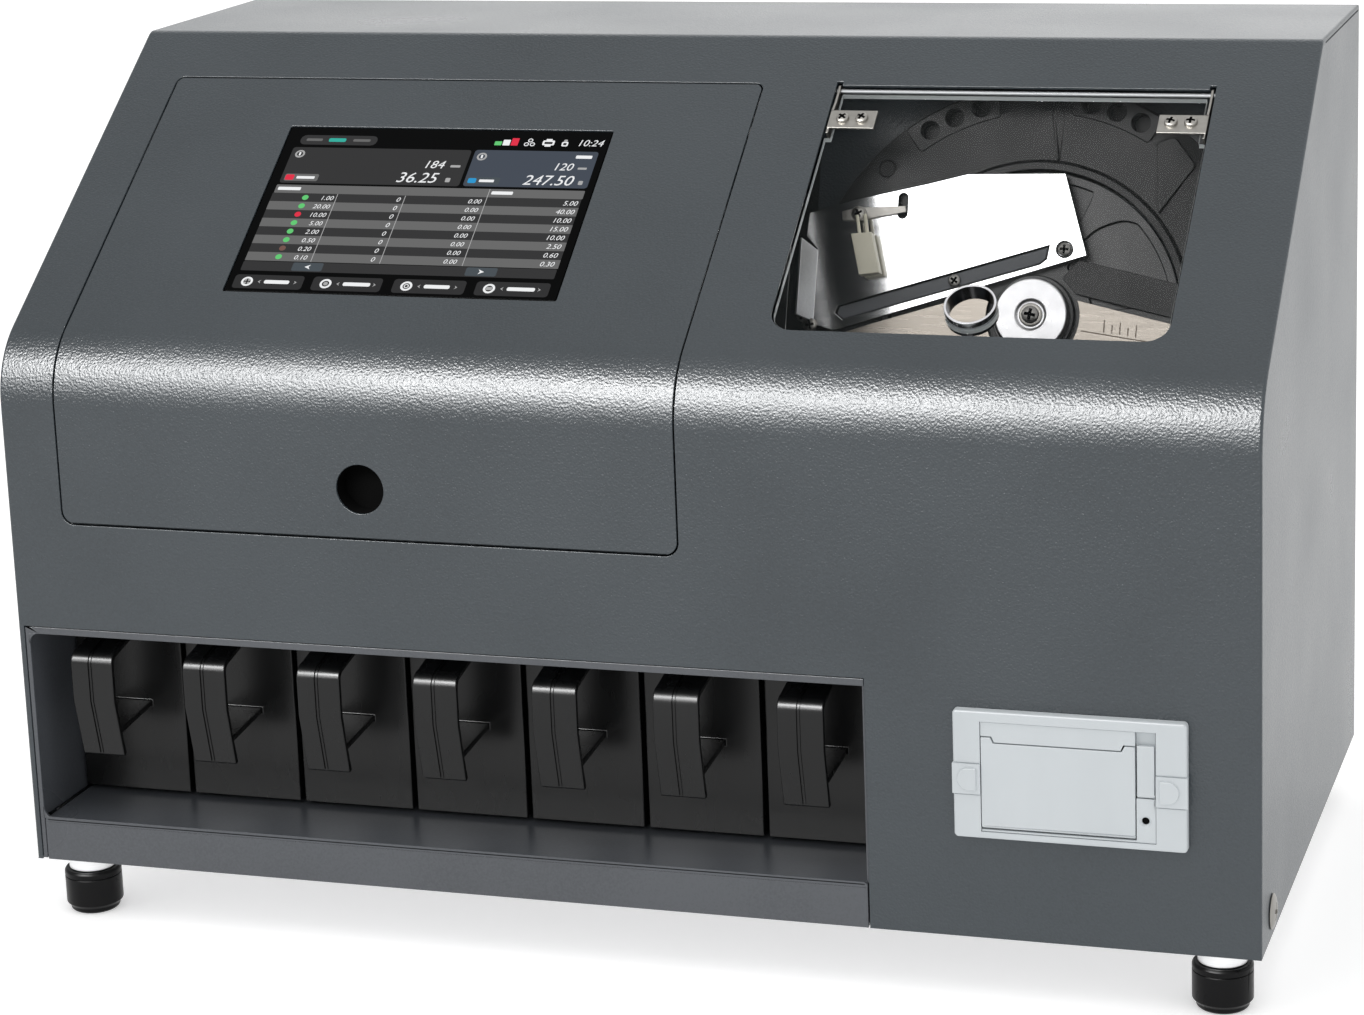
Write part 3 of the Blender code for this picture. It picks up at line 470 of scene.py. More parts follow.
rear_panel = block("rear_panel", (1.9, 322.2, 2.2), (CASE_W - 1.9, 323.7, 399.0), "case_paint")
vents = [
    block("vent", (x, 320, z), (x + 60, 326, z + 4))
    for x in (90, 175, 395, 480)
    for z in (300, 312, 324, 336)
]
cut(rear_panel, *vents)
cut(
    rear_panel,
    block("inlet_hole", (568.5, 320, 26.5), (603.5, 326, 81.5)),
    block("port_hole", (470, 320, 120), (490, 326, 134)),
    block("port_hole_2", (500, 320, 120), (516, 326, 132)),
)

bay_liner = block("bay_liner", (3.5, 1.9, 22.4), (442.5, 300, 124.6), "liner_paint")
cut(bay_liner, block("bay_room", (4.7, -1, 20), (441.3, 298.8, 123.4)))
join(
    bay_liner,
    block("flange_side", (3.5, 0.4, 0.6), (5.8, 2.0, 124.6)),
    block("flange_top", (3.5, 0.4, 121.0), (442.5, 2.0, 124.6)),
)
chute_holes = [
    block(
        "chute_hole",
        (BOX_X0 + BOX_PITCH * i + 7, 118, 120),
        (BOX_X0 + BOX_PITCH * i + 53, 180, 130),
    )
    for i in range(BOX_COUNT)
]
cut(bay_liner, *chute_holes)

bay_tray = block("bay_tray", (6.3, 0.2, 20.3), (442.0, 298.4, TRAY_Z), "liner_paint")
join(bay_tray, block("tray_lip", (6.3, 0.2, 0.1), (442.0, 1.7, TRAY_Z)))

# ---------------------------------------------------------------- feet and side screws
for corner, (x, y) in FEET.items():
    turned(
        f"foot_{corner}",
        at(x, y, 0),
        Z_AXIS,
        [(0, -30), (11.4, -30), (12.5, -29.0), (12.8, -27.2), (14.5, -25.4), (14.5, -8.6), (13.6, -7.4), (0, -7.4)],
        "rubber",
    )
    rod(f"foot_spacer_{corner}", at(x, y, 0), Z_AXIS, 11.8, -7.1, 0.1, "aluminium")

for side, x, way in (("left", 0.0, -X_AXIS), ("right", CASE_W, X_AXIS)):
    turned(
        f"case_screw_{side}",
        at(x, 29.0, 13.3),
        way,
        [(0, -6), (2.4, -6), (2.4, 0.3), (8.6, 0.3), (8.6, 0.8), (7.4, 1.5), (5.4, 2.1), (2.8, 2.4), (0, 2.4)],
        "zinc",
        20,
    )


# ---------------------------------------------------------------- coin boxes
def handle_outline():
    """Side view of the moulded pull handle, as a band that is open to both sides."""
    y0 = BOX_Y[0] + 0.6
    outside = [(y0, 118.2), (14.5, 110.8)]
    outside += arc(13.0, 103.6, 7.0, 100, 180, 4)
    outside += [(6.0, 85.0), (12.6, 54.6), (14.2, 53.8), (16.0, 55.0)]
    inside = [(12.9, 66.6), (y0, 70.2), (y0, 73.2), (12.0, 69.6), (9.0, 85.4)]
    inside += arc(13.0, 103.6, 4.0, 180, 100, 3)
    inside += [(y0, 115.0)]
    return outside + inside


for i in range(BOX_COUNT):
    x0 = BOX_X0 + BOX_PITCH * i
    x1 = x0 + BOX_W
    w = BOX_WALL
    box = block(f"coin_box_{i + 1}", (x0, BOX_Y[0], BOX_Z[0]), (x1, BOX_Y[1], BOX_Z[1]), "black_plastic")
    cut(box, block("room", (x0 + w, BOX_Y[0] + w, BOX_Z[0] + 2.2), (x1 - w, BOX_Y[1] - w, BOX_Z[1] + 5)))
    mid = (x0 + x1) / 2
    join(
        box,
        side_prism("handle", handle_outline(), mid - HANDLE_W / 2, mid + HANDLE_W / 2),
        block("runner_left", (x0 + 6, 60, 22.1), (x0 + 9, 266, 24.4)),
        block("runner_right", (x1 - 9, 60, 22.1), (x1 - 6, 266, 24.4)),
    )

# ---------------------------------------------------------------- access door and display
access_door = skin_plate(
    "access_door", *DOOR_X, DOOR_Z0, u_of(DOOR_S1), 6.5, 4.0, 0.0, SHEET, "case_paint"
)
cut(
    access_door,
    rod("finger_hole", at(FINGER_HOLE[0], 0, FINGER_HOLE[1]), Y_AXIS, FINGER_HOLE[2], -4, 4, None, 32),
    slope_prism(
        "screen_hole",
        rounded(SCREEN_X[0] - 0.6, SCREEN_X[1] + 0.6, SCREEN_S[0] - 0.6, SCREEN_S[1] + 0.6, 1.2, 2),
        -3,
        SHEET + 3,
    ),
)
touch_screen = slope_prism(
    "touch_screen", rounded(*SCREEN_X, *SCREEN_S, 0.8, 2), 0.4, 3.2, "display_glass"
)
display_housing = slope_prism(
    "display_housing", rounded(98.0, 290.5, 43.0, 173.5, 4, 2), 3.6, 24.0, "black_plastic"
)


def swung(r, degrees):
    """(y, z) at a radius and an angle about the door's pivot, 0 up the slope, 90 out of it."""
    t = math.radians(degrees)
    return on_slope(DOOR_PIVOT_S + r * math.cos(t), DOOR_PIVOT_DEPTH - r * math.sin(t))


def hinge_arm(name, x0):
    outline = [swung(36.5, 165.5 + 7 * i) for i in range(16)]
    outline += [swung(5.2, d) for d in (292, 340, 25, 70, 115, 160, 205)]
    outline += [swung(27.0, 255.0)]
    outline += [swung(30.5, 252 - 9 * i) for i in range(11)]
    arm = side_prism(name, outline, x0, x0 + 4.0, "zinc")
    pad = side_prism(
        "pad",
        [
            on_slope(DOOR_PIVOT_S - 50, SHEET + 0.3),
            on_slope(DOOR_PIVOT_S - 29.5, SHEET + 0.3),
            on_slope(DOOR_PIVOT_S - 29.5, SHEET + 2.6),
            on_slope(DOOR_PIVOT_S - 50, SHEET + 2.6),
        ],
        x0 - 3,
        x0 + 9,
    )
    join(arm, pad)
    cut(arm, rod("eye", slope_at(x0 + 2, DOOR_PIVOT_S, DOOR_PIVOT_DEPTH), X_AXIS, 2.35, -6, 6, None, 16))
    return arm


arm_left = hinge_arm("door_hinge_arm_left", 38.0)
arm_right = hinge_arm("door_hinge_arm_right", 336.0)
rod("door_pivot_rod", slope_at(0, DOOR_PIVOT_S, DOOR_PIVOT_DEPTH), X_AXIS, 2.0, 11.0, 359.0, "zinc", 16)

# ---------------------------------------------------------------- clear hopper lid
lid_outline = (
    [(LID_X[1] - 3.0, LID_S[1]), (LID_X[0] + 3.0, LID_S[1]), (LID_X[0] + 3.0, 165.5), (LID_X[0], 165.5)]
    + arc(LID_X[0] + 11, LID_S[0] + 11, 11, 180, 270, 5)
    + arc(LID_X[1] - 11, LID_S[0] + 11, 11, 270, 360, 5)
    + [(LID_X[1], 165.5), (LID_X[1] - 3.0, 165.5)]
)
window_lid = slope_prism("window_lid", lid_outline, *LID_DEPTH, "clear_acrylic")
mid_x = (WINDOW_X[0] + WINDOW_X[1]) / 2
cut(window_lid, rod("ring_hole", slope_at(mid_x, RING_S, 0), SLOPE_OUT, 12.8, -12, 8, None, 32))
lid_finger_ring = turned(
    "lid_finger_ring",
    slope_at(mid_x, RING_S, 0),
    SLOPE_OUT,
    [(11.3, -7.0), (12.5, -7.0), (12.5, 2.0), (11.3, 2.0)],
    "chrome",
    40,
)


def lid_bracket(name, side):
    """Angle bracket: a plate on the lid and a cheek with an eye on the rod."""
    edge = LID_X[0] + 0.3 if side < 0 else LID_X[1] - 0.3
    cheek_x = (edge, edge + 1.2) if side < 0 else (edge - 1.2, edge)
    plate_x = (cheek_x[0], 416.5) if side < 0 else (557.2, cheek_x[1])
    plate = slope_prism(
        name,
        [(plate_x[0], 171.2), (plate_x[1], 171.2), (plate_x[1], 183.4), (plate_x[0], 183.4)],
        0.1,
        1.3,
        "zinc",
    )
    cheek = [on_slope(168, 0.4), on_slope(168, 6.5), on_slope(186, 8.0)]
    for degrees in (-60, -30, 0, 30, 60, 90, 120):
        t = math.radians(degrees)
        cheek.append(
            on_slope(LID_PIVOT_S + 3.3 * math.cos(t), LID_PIVOT_DEPTH - 3.3 * math.sin(t))
        )
    cheek += [on_slope(190, 0.9), on_slope(184, 0.1)]
    join(plate, side_prism("cheek", cheek, *cheek_x))
    eye = rod("eye", slope_at(sum(cheek_x) / 2, LID_PIVOT_S, LID_PIVOT_DEPTH), X_AXIS, 1.75, -3, 3, None, 16)
    return cut(plate, eye)


lid_bracket_left = lid_bracket("lid_bracket_left", -1)
lid_bracket_right = lid_bracket("lid_bracket_right", 1)
rod("lid_hinge_rod", slope_at(0, LID_PIVOT_S, LID_PIVOT_DEPTH), X_AXIS, 1.5, 386.6, 587.1, "chrome", 16)

# ---------------------------------------------------------------- hopper and feed disc
centre = mech(0, 0, 0)
mechanism_plate = mech_prism(
    "mechanism_plate", [(-119, -118), (129, -118), (129, 120), (-119, 120)], -19, -16.4, "zinc"
)
leg_points = [(mech(0, b, -17.7)) for b in (-112, 116)]
leg_low = (leg_points[0].y * 1000 + Y_MID, leg_points[0].z * 1000 - FOOT_H)
leg_high = (leg_points[1].y * 1000 + Y_MID, leg_points[1].z * 1000 - FOOT_H)
leg_outline = [leg_low, leg_high, (248, 345), (236, 2.3), (122, 2.3)]
join(
    mechanism_plate,
    side_prism("leg_left", leg_outline, 445.0, 448.0),
    side_prism("leg_right", leg_outline, 618.0, 621.0),
)
cut(mechanism_plate, rod("shaft_hole", centre, MECH_AXIS, 8.0, -30, 0, None, 24))
cut(mechanism_plate, rod("motor_hole", mech(0, MOTOR_B, 0), MECH_AXIS, 12.0, -30, 0, None, 24))

hopper_ring = turned(
    "hopper_ring",
    centre,
    MECH_AXIS,
    [(RING_IN, -16), (RING_OUT, -16), (RING_OUT, -2.0), (RING_OUT - 14, 0.0), (79, -1.6), (77.5, 0.0), (RING_IN, 0.0)],
    "dark_moulding",
    48,
)
boss_holes = []
for degrees in (122.2, 114.9, 107.4, 77.7, 70.7, 63.7):
    t = math.radians(degrees)
    boss_holes.append(
        rod("boss_hole", mech(109.5 * math.cos(t), 109.5 * math.sin(t), 0), MECH_AXIS, 4.8, -9, 4, None, 12)
    )
cut(hopper_ring, *boss_holes)
join(
    hopper_ring,
    mech_prism("bridge", [(20.6, 11.8), (74.6, 0.2), (77.5, 17.0), (21.5, 28.8), (13.5, 19.6)], -1.3, -0.1),
)

feed_disc = turned(
    "feed_disc",
    centre,
    MECH_AXIS,
    [(6.2, -7.2), (DISC_R, -7.2), (DISC_R, -2.6), (22, -2.6), (22, 1.2), (6.2, 1.2)],
    "dark_moulding",
    40,
)
pockets = []
for i in range(6):
    turn = 60.0 * i
    sector = (
        arc(0, 0, 68.5, turn + 7, turn + 45, 6)
        + [(64.0 * math.cos(math.radians(turn + 51)), 64.0 * math.sin(math.radians(turn + 51)))]
        + [(50.0 * math.cos(math.radians(turn + 60)), 50.0 * math.sin(math.radians(turn + 60)))]
        + arc(0, 0, 29.0, turn + 60, turn + 7, 3)
    )
    pockets.append(mech_prism("pocket", sector, -4.6, 0))
cut(feed_disc, *pockets)
hub_cap = turned(
    "hub_cap",
    centre,
    MECH_AXIS,
    [(0, 1.5), (18.8, 1.5), (18.8, 5.4), (17.8, 6.3), (8.0, 6.3), (6.8, 5.5), (0, 5.5)],
    "aluminium",
    32,
)
feed_shaft = rod("feed_shaft", centre, MECH_AXIS, 5.9, -40, 1.2, "zinc", 24)
feed_pulley = turned(
    "feed_pulley",
    centre,
    MECH_AXIS,
    [(6.2, -33), (FEED_PULLEY_R + 2.5, -33), (FEED_PULLEY_R + 2.5, -32), (FEED_PULLEY_R, -31.5), (FEED_PULLEY_R, -24.5), (FEED_PULLEY_R + 2.5, -24), (FEED_PULLEY_R + 2.5, -23), (6.2, -23)],
    "aluminium",
    32,
)

motor_pulley = turned(
    "motor_pulley",
    mech(0, MOTOR_B, 0),
    MECH_AXIS,
    [(0, -34), (3.0, -34), (3.0, -33), (MOTOR_PULLEY_R + 2, -33), (MOTOR_PULLEY_R + 2, -32), (MOTOR_PULLEY_R, -31.5), (MOTOR_PULLEY_R, -24.5), (MOTOR_PULLEY_R + 2, -24), (MOTOR_PULLEY_R + 2, -23), (0, -23)],
    "aluminium",
    24,
)


def loop_outline(r0, c0, r1, c1, grow, steps):
    """The outline of a belt round two pulleys: centres on one line, from the first to the second."""
    (ax, ay), (bx, by) = c0, c1
    run = math.hypot(bx - ax, by - ay)
    lean = math.asin((r0 - r1) / run)
    base = math.atan2(by - ay, bx - ax)
    first = base + math.pi / 2 - lean
    points = []
    for i in range(steps + 1):
        t = first + (2 * math.pi - 2 * (math.pi / 2 - lean)) * i / steps
        points.append((ax + (r0 + grow) * math.cos(t), ay + (r0 + grow) * math.sin(t)))
    for i in range(steps + 1):
        t = -(math.pi / 2 - lean) + base + 2 * (math.pi / 2 - lean) * i / steps
        points.append((bx + (r1 + grow) * math.cos(t), by + (r1 + grow) * math.sin(t)))
    return points


drive_belt = mech_prism(
    "drive_belt",
    loop_outline(FEED_PULLEY_R, (0, 0), MOTOR_PULLEY_R, (0, MOTOR_B), 2.0, 12),
    -31,
    -25,
    "belt_rubber",
)
cut(
    drive_belt,
    mech_prism("inside", loop_outline(FEED_PULLEY_R, (0, 0), MOTOR_PULLEY_R, (0, MOTOR_B), 0.5, 12), -36, -20),
)
feed_motor = turned(
    "feed_motor",
    mech(0, MOTOR_B, 0),
    MECH_AXIS,
    [(0, -92), (21, -92), (23, -90), (23, -42), (26, -42), (26, -38), (6, -38), (6, -36), (0, -36)],
    "zinc",
    28,
)
posts = [
    rod("post", mech(20 * math.cos(math.radians(t)), MOTOR_B + 20 * math.sin(math.radians(t)), 0), MECH_AXIS, 3.0, -41, -19.4, None, 12)
    for t in (200, 340, 270)
]
join(feed_motor, *posts)

# ---------------------------------------------------------------- guide plate and coin flap
GUIDE = [(-112, -7.6), (-112, 30.5), (-118.2, 37.0), (-117.4, 48.8), (-94.7, 55.9), (-56.2, 65.0), (-36.5, 70.2), (12.8, 71.4), (25.8, 30.7), (-101.5, -10.8)]
guide_plate = mech_prism("guide_plate", GUIDE[::-1], 2.0, 3.5, "mirror_steel")
flange = prism(
    "flange",
    [mech(-111.2, -6.5, 2.3), mech(-111.2, 29.5, 2.3), mech(-117.6, 34.5, 14.0), mech(-117.6, -4.5, 14.0)],
    Vector((-0.0013, 0, 0)) - MECH_AXIS * 0.0006,
)
posts = [
    rod("post", mech(a, b, 0), MECH_AXIS, 4.0, 0.3, 2.6, None, 12) for a, b in ((-80, 40.0), (-52, 56.0), (4.0, 62.0))
]
join(guide_plate, flange, *posts)
cut(
    guide_plate,
    mech_prism("long_slot", [(-101.0, -1.7), (-96.6, -5.2), (2.5, 25.4), (6.0, 28.2), (7.0, 35.4), (-99.6, 2.0)], 0, 6),
    mech_prism("stop_slot", [(-71.6, 49.4)] + arc(-69.1, 49.4, 2.5, 180, 360, 4)[1:] + arc(-69.1, 57.4, 2.5, 0, 180, 4), 0, 6),
)

tip = (-68.6, 51.4)
lean = math.atan2(tip[1] - FLAP_PIVOT[1], tip[0] - FLAP_PIVOT[0])


def along_arm(r, off):
    return (
        FLAP_PIVOT[0] + r * math.cos(lean) - off * math.sin(lean),
        FLAP_PIVOT[1] + r * math.sin(lean) + off * math.cos(lean),
    )


flap_lever = mech_prism(
    "flap_lever",
    [along_arm(-9, -2.2), along_arm(0, -3.6), along_arm(8, -2.6), along_arm(24, -1.6), along_arm(24, 1.6), along_arm(8, 2.6), along_arm(0, 3.6), along_arm(-9, 2.2)],
    3.9,
    5.3,
    "zinc",
)
join(
    flap_lever,
    rod("stop_pin", mech(*tip, 0), MECH_AXIS, 1.2, 1.4, 5.0, None, 10),
    rod("screw_head", mech(*FLAP_PIVOT, 0), MECH_AXIS, 3.8, 4.4, 7.4, None, 20),
)
flap_block = mech_prism(
    "flap_block", [(-93.0, 37.4), (-87.4, 16.6), (-77.0, 18.0), (-82.4, 38.6)], 5.6, 12.0, "nylon"
)
pins = [
    rod("pin", mech(a, b, 8.6), (mech(a + 1.2, b - 6, 0) - mech(a, b, 0)), 0.9, -8, 3, None, 8)
    for a, b in ((-89.6, 39.6), (-85.6, 40.2))
]
join(flap_block, *pins)

level_plate = mech_prism(
    "level_plate",
    [(-103, -62), (-103, -13.6), (-79.4, -5.5), (-24.0, 12.0)]
    + arc(0, 0, 23.6, 152, 381, 16)
    + [(68.5, -1.6), (84, -4.6), (84, -62)],
    0.3,
    1.5,
    "mirror_steel",
)

# ---------------------------------------------------------------- sorting rail, belt, chutes
sorting_rail = mech_prism(
    "sorting_rail",
    [(RAIL_A[0], -32), (RAIL_A[1], -32), (RAIL_A[1], 38), (RAIL_A[0], 38)],
    -3.0,
    0.0,
    "mirror_steel",
)
join(
    sorting_rail,
    mech_prism("ledge", [(RAIL_A[0], -32), (RAIL_A[1], -32), (RAIL_A[1], -29), (RAIL_A[0], -29)], -1.0, 6.0),
)
gates = []
for i in range(BOX_COUNT - 1):
    a = BOX_X0 + BOX_W / 2 + BOX_PITCH * i - HUB[0]
    tall = 17.0 + 2.4 * (BOX_COUNT - 2 - i)
    gates.append(mech_prism("gate", [(a - 17, -27), (a + 17, -27), (a + 17, -27 + tall), (a - 17, -27 + tall)], -8, 3))
shaft_holes = [rod("shaft_hole", mech(a, BELT_B, 0), MECH_AXIS, 3.2, -8, 4, None, 12) for a in BELT_A]
cut(sorting_rail, *gates)
cut(sorting_rail, *shaft_holes)
for name, a in (("left", BELT_A[0]), ("right", BELT_A[1])):
    wheel = turned(
        f"belt_pulley_{name}",
        mech(a, BELT_B, 0),
        MECH_AXIS,
        [(0, -12), (2.8, -12), (2.8, 0.6), (BELT_R, 0.6), (BELT_R, 7.2), (0, 7.2)],
        "aluminium",
        20,
    )
transport_belt = mech_prism(
    "transport_belt",
    loop_outline(BELT_R, (BELT_A[0], BELT_B), BELT_R, (BELT_A[1], BELT_B), 2.0, 8),
    1.0,
    6.8,
    "belt_rubber",
)
cut(
    transport_belt,
    mech_prism("inside", loop_outline(BELT_R, (BELT_A[0], BELT_B), BELT_R, (BELT_A[1], BELT_B), 0.5, 8), -2, 10),
)

chute_block = block("chute_block", (6.0, 112, 127.0), (440.0, 186, 148.0), "black_plastic")
join(chute_block, block("chute_tall", (6.0, 112, 147.0), (364.0, 186, 232.0)))
cut(
    chute_block,
    *[
        block(
            "chute",
            (BOX_X0 + BOX_PITCH * i + 6, 116, 120),
            (BOX_X0 + BOX_PITCH * i + 54, 182, 240),
        )
        for i in range(BOX_COUNT)
    ],
)

# ---------------------------------------------------------------- panel printer
COVER_X = (499.6, 572.2)


def tear_outline(x0, x1, z0, z1, drop, grow):
    """Cover outline in (x, z), its top edge stepped down between the paper guides."""
    return [
        (x0 - grow, z0 - grow),
        (x1 + grow, z0 - grow),
        (x1 + grow, z1 + grow),
        (x1 - 4.9 - grow, z1 + grow),
        (x1 - 6.2 - grow, z1 - drop + grow),
        (x0 + 5.8 + grow, z1 - drop + grow),
        (x0 + 4.5 + grow, z1 + grow),
        (x0 - grow, z1 + grow),
    ]


printer_bezel = front_prism(
    "printer_bezel", rounded(*BEZEL_X, *BEZEL_Z, 2.0, 3), -4.6, -0.3, "printer_plastic"
)
cut(
    printer_bezel,
    front_prism("cover_hole", tear_outline(*COVER_X, 56.6, 101.4, 2.8, 0.4), -9, 3),
    front_prism("lever_hole", [(572.4, 76.6), (581.8, 76.6), (581.8, 109.0), (572.4, 109.0)], -9, 3),
    rod("lamp_hole", at(576.8, 0, 65.6), Y_AXIS, 1.3, -9, 3, None, 12),
)


def rocking_plate(name, outline, axis, thick, slot):
    """A plate in (x, z) whose lower edge is rounded about the axis it turns on."""
    y, z = axis
    x_low = min(x for x, _ in outline)
    x_high = max(x for x, _ in outline)
    plate = front_prism(name, outline, y - thick / 2, y + thick / 2, slot)
    return join(plate, rod("barrel", at(x_low, y, z), X_AXIS, thick / 2, 0, x_high - x_low, None, 16))


cover_low = COVER_AXIS[1]
printer_cover = rocking_plate(
    "printer_cover", tear_outline(*COVER_X, cover_low, 101.4, 2.8, 0.0), COVER_AXIS, 3.0, "printer_plastic"
)
printer_lever = rocking_plate(
    "printer_lever",
    [(573.1, LEVER_AXIS[1]), (581.2, LEVER_AXIS[1]), (581.2, 102.2), (573.1, 102.2)],
    LEVER_AXIS,
    2.8,
    "printer_plastic",
)
# Two keeper ears stand proud of the bezel's face at its left and right edges.
join(
    printer_bezel,
    block("ear_left", (488.0, -6.0, 75.5), (498.0, -4.2, 86.5)),
    block("ear_right", (582.6, -6.0, 77.0), (592.6, -4.2, 88.0)),
)

printer_body = block("printer_body", (490.2, 0.0, 55.0), (592.4, 62.0, 111.0), "black_plastic")
cut(printer_body, block("bucket", (494.0, -2, 58.0), (588.0, 58.0, 108.0)))
join(printer_body, block("spindle_left", (493.0, 28, 77), (503.5, 36, 85)))
cut(printer_body, block("slot_back", (500, 50, 60), (506, 66, 66)))
paper_roll = turned(
    "paper_roll",
    at(505.2, 31.0, 83.0),
    X_AXIS,
    [(6, 0), (22.5, 0), (22.5, 57.5), (6, 57.5)],
    "paper",
    28,
)

# ---------------------------------------------------------------- electronics
power_supply = block("power_supply", (456, 205, 2.4), (556, 305, 46), "zinc")
control_board = block("control_board", (80, 296.4, 168), (262, 298.0, 306), "board_green")
join(
    control_board,
    *[block("standoff", (x, 297, z), (x + 6, 321.8, z + 6)) for x in (84, 252) for z in (172, 296)],
    block("processor", (140, 286, 215), (185, 297, 260)),
    block("connector_row", (100, 284, 175), (240, 297, 187)),
)

power_inlet = block("power_inlet", (566.0, 324.0, 24.0), (606.0, 325.0, 84.0), "black_plastic")
join(power_inlet, block("inlet_body", (569.0, 300.0, 27.0), (603.0, 324.5, 81.0)))
cut(
    power_inlet,
    block("socket", (573.5, 308, 31), (598.5, 327, 50)),
    block("switch_well", (574.0, 310, 56), (598.0, 327, 76)),
)
SWITCH_AXIS = (319.0, 66.0)


def rocker_outline(tilt):
    """Side view of the rocker, leaning by tilt degrees about its pivot."""
    t = math.radians(tilt)
    points = [(-4.0, -6.0), (4.4, -9.0), (3.2, 0.0), (4.4, 9.0), (-4.0, 6.0)]
    return [
        (
            SWITCH_AXIS[0] + y * math.cos(t) - z * math.sin(t),
            SWITCH_AXIS[1] + y * math.sin(t) + z * math.cos(t),
        )
        for y, z in points
    ]


power_switch = side_prism("power_switch", rocker_outline(-6), 575.0, 597.0, "black_plastic")


# ---------------------------------------------------------------- shaders
def shader(name):
    made = bpy.data.materials.new(name)
    made.use_nodes = True
    tree = made.node_tree
    return made, tree, tree.nodes["Principled BSDF"]


def where(tree, scale=(1.0, 1.0, 1.0)):
    """Object coordinates, in metres, stretched by scale."""
    coords = tree.nodes.new("ShaderNodeTexCoord")
    mapping = tree.nodes.new("ShaderNodeMapping")
    mapping.inputs["Scale"].default_value = scale
    tree.links.new(coords.outputs["Object"], mapping.inputs["Vector"])
    return mapping.outputs["Vector"]


def clouds(tree, scale, detail=2.0, rough=0.5, stretch=(1.0, 1.0, 1.0)):
    made = tree.nodes.new("ShaderNodeTexNoise")
    made.inputs["Scale"].default_value = scale
    made.inputs["Detail"].default_value = detail
    made.inputs["Roughness"].default_value = rough
    tree.links.new(where(tree, stretch), made.inputs["Vector"])
    return made.outputs[0]


def cells(tree, scale, smooth=0.8):
    made = tree.nodes.new("ShaderNodeTexVoronoi")
    made.feature = "SMOOTH_F1"
    made.inputs["Scale"].default_value = scale
    made.inputs["Smoothness"].default_value = smooth
    tree.links.new(where(tree), made.inputs["Vector"])
    return made.outputs["Distance"]


def spread(tree, socket, low, high, start=0.3, end=0.7):
    """socket's start..end mapped to low..high."""
    made = tree.nodes.new("ShaderNodeMapRange")
    made.inputs["From Min"].default_value = start
    made.inputs["From Max"].default_value = end
    made.inputs["To Min"].default_value = low
    made.inputs["To Max"].default_value = high
    tree.links.new(socket, made.inputs["Value"])
    return made.outputs["Result"]


def blend_colours(tree, socket, first, second, start=0.3, end=0.7):
    made = tree.nodes.new("ShaderNodeValToRGB")
    made.color_ramp.elements[0].position = start
    made.color_ramp.elements[0].color = (*first, 1.0)
    made.color_ramp.elements[1].position = end
    made.color_ramp.elements[1].color = (*second, 1.0)
    tree.links.new(socket, made.inputs["Fac"])
    return made.outputs["Color"]


def total(tree, first, second, share):
    """first + second * share."""
    made = tree.nodes.new("ShaderNodeMath")
    made.operation = "MULTIPLY_ADD"
    tree.links.new(second, made.inputs[0])
    made.inputs[1].default_value = share
    tree.links.new(first, made.inputs[2])
    return made.outputs["Value"]


def emboss(tree, surface, height, distance, strength=1.0):
    made = tree.nodes.new("ShaderNodeBump")
    made.inputs["Distance"].default_value = distance
    made.inputs["Strength"].default_value = strength
    tree.links.new(height, made.inputs["Height"])
    tree.links.new(made.outputs["Normal"], surface.inputs["Normal"])


def scaled(colour, share):
    return tuple(min(1.0, c * share) for c in colour)


def coated(name, colour, rough, peel, peel_scale, specular=0.5):
    """Powder coat: an orange-peel skin with slight changes of tone and sheen."""
    made, tree, surface = shader(name)
    tone = clouds(tree, 900.0, 3.0)
    wide = clouds(tree, 9.0, 2.0)
    both = total(tree, tone, wide, 0.8)
    tree.links.new(
        blend_colours(tree, both, scaled(colour, 0.90), scaled(colour, 1.10), 0.65, 1.15),
        surface.inputs["Base Color"],
    )
    tree.links.new(spread(tree, wide, rough - 0.03, rough + 0.03), surface.inputs["Roughness"])
    surface.inputs["Specular IOR Level"].default_value = specular
    skin_height = total(tree, cells(tree, peel_scale), clouds(tree, peel_scale * 1.4, 2.0), 0.7)
    emboss(tree, surface, skin_height, peel)
    return made


def moulded(name, colour, rough, grain, grain_scale, specular=0.5, tone=0.12):
    """Moulded plastic: fine spark grain, faint flow marks."""
    made, tree, surface = shader(name)
    flow = clouds(tree, 35.0, 3.0, 0.6, (1.0, 1.0, 0.35))
    tree.links.new(
        blend_colours(tree, flow, scaled(colour, 1 - tone), scaled(colour, 1 + tone)),
        surface.inputs["Base Color"],
    )
    tree.links.new(spread(tree, flow, rough - 0.05, rough + 0.05), surface.inputs["Roughness"])
    surface.inputs["Specular IOR Level"].default_value = specular
    emboss(tree, surface, clouds(tree, grain_scale, 2.0), grain)
    return made


def metal(name, colour, rough, stretch=(1.0, 1.0, 1.0), scale=60.0, marks=0.00001, swing=0.06, tone=0.06, metallic=1.0):
    """Bare or plated metal; stretch draws the marks out along one way."""
    made, tree, surface = shader(name)
    surface.inputs["Metallic"].default_value = metallic
    streak = clouds(tree, scale, 3.0, 0.6, stretch)
    tree.links.new(
        blend_colours(tree, streak, scaled(colour, 1 - tone), scaled(colour, 1 + tone)),
        surface.inputs["Base Color"],
    )
    tree.links.new(
        spread(tree, streak, max(0.01, rough - swing), rough + swing), surface.inputs["Roughness"]
    )
    emboss(tree, surface, streak, marks)
    return made


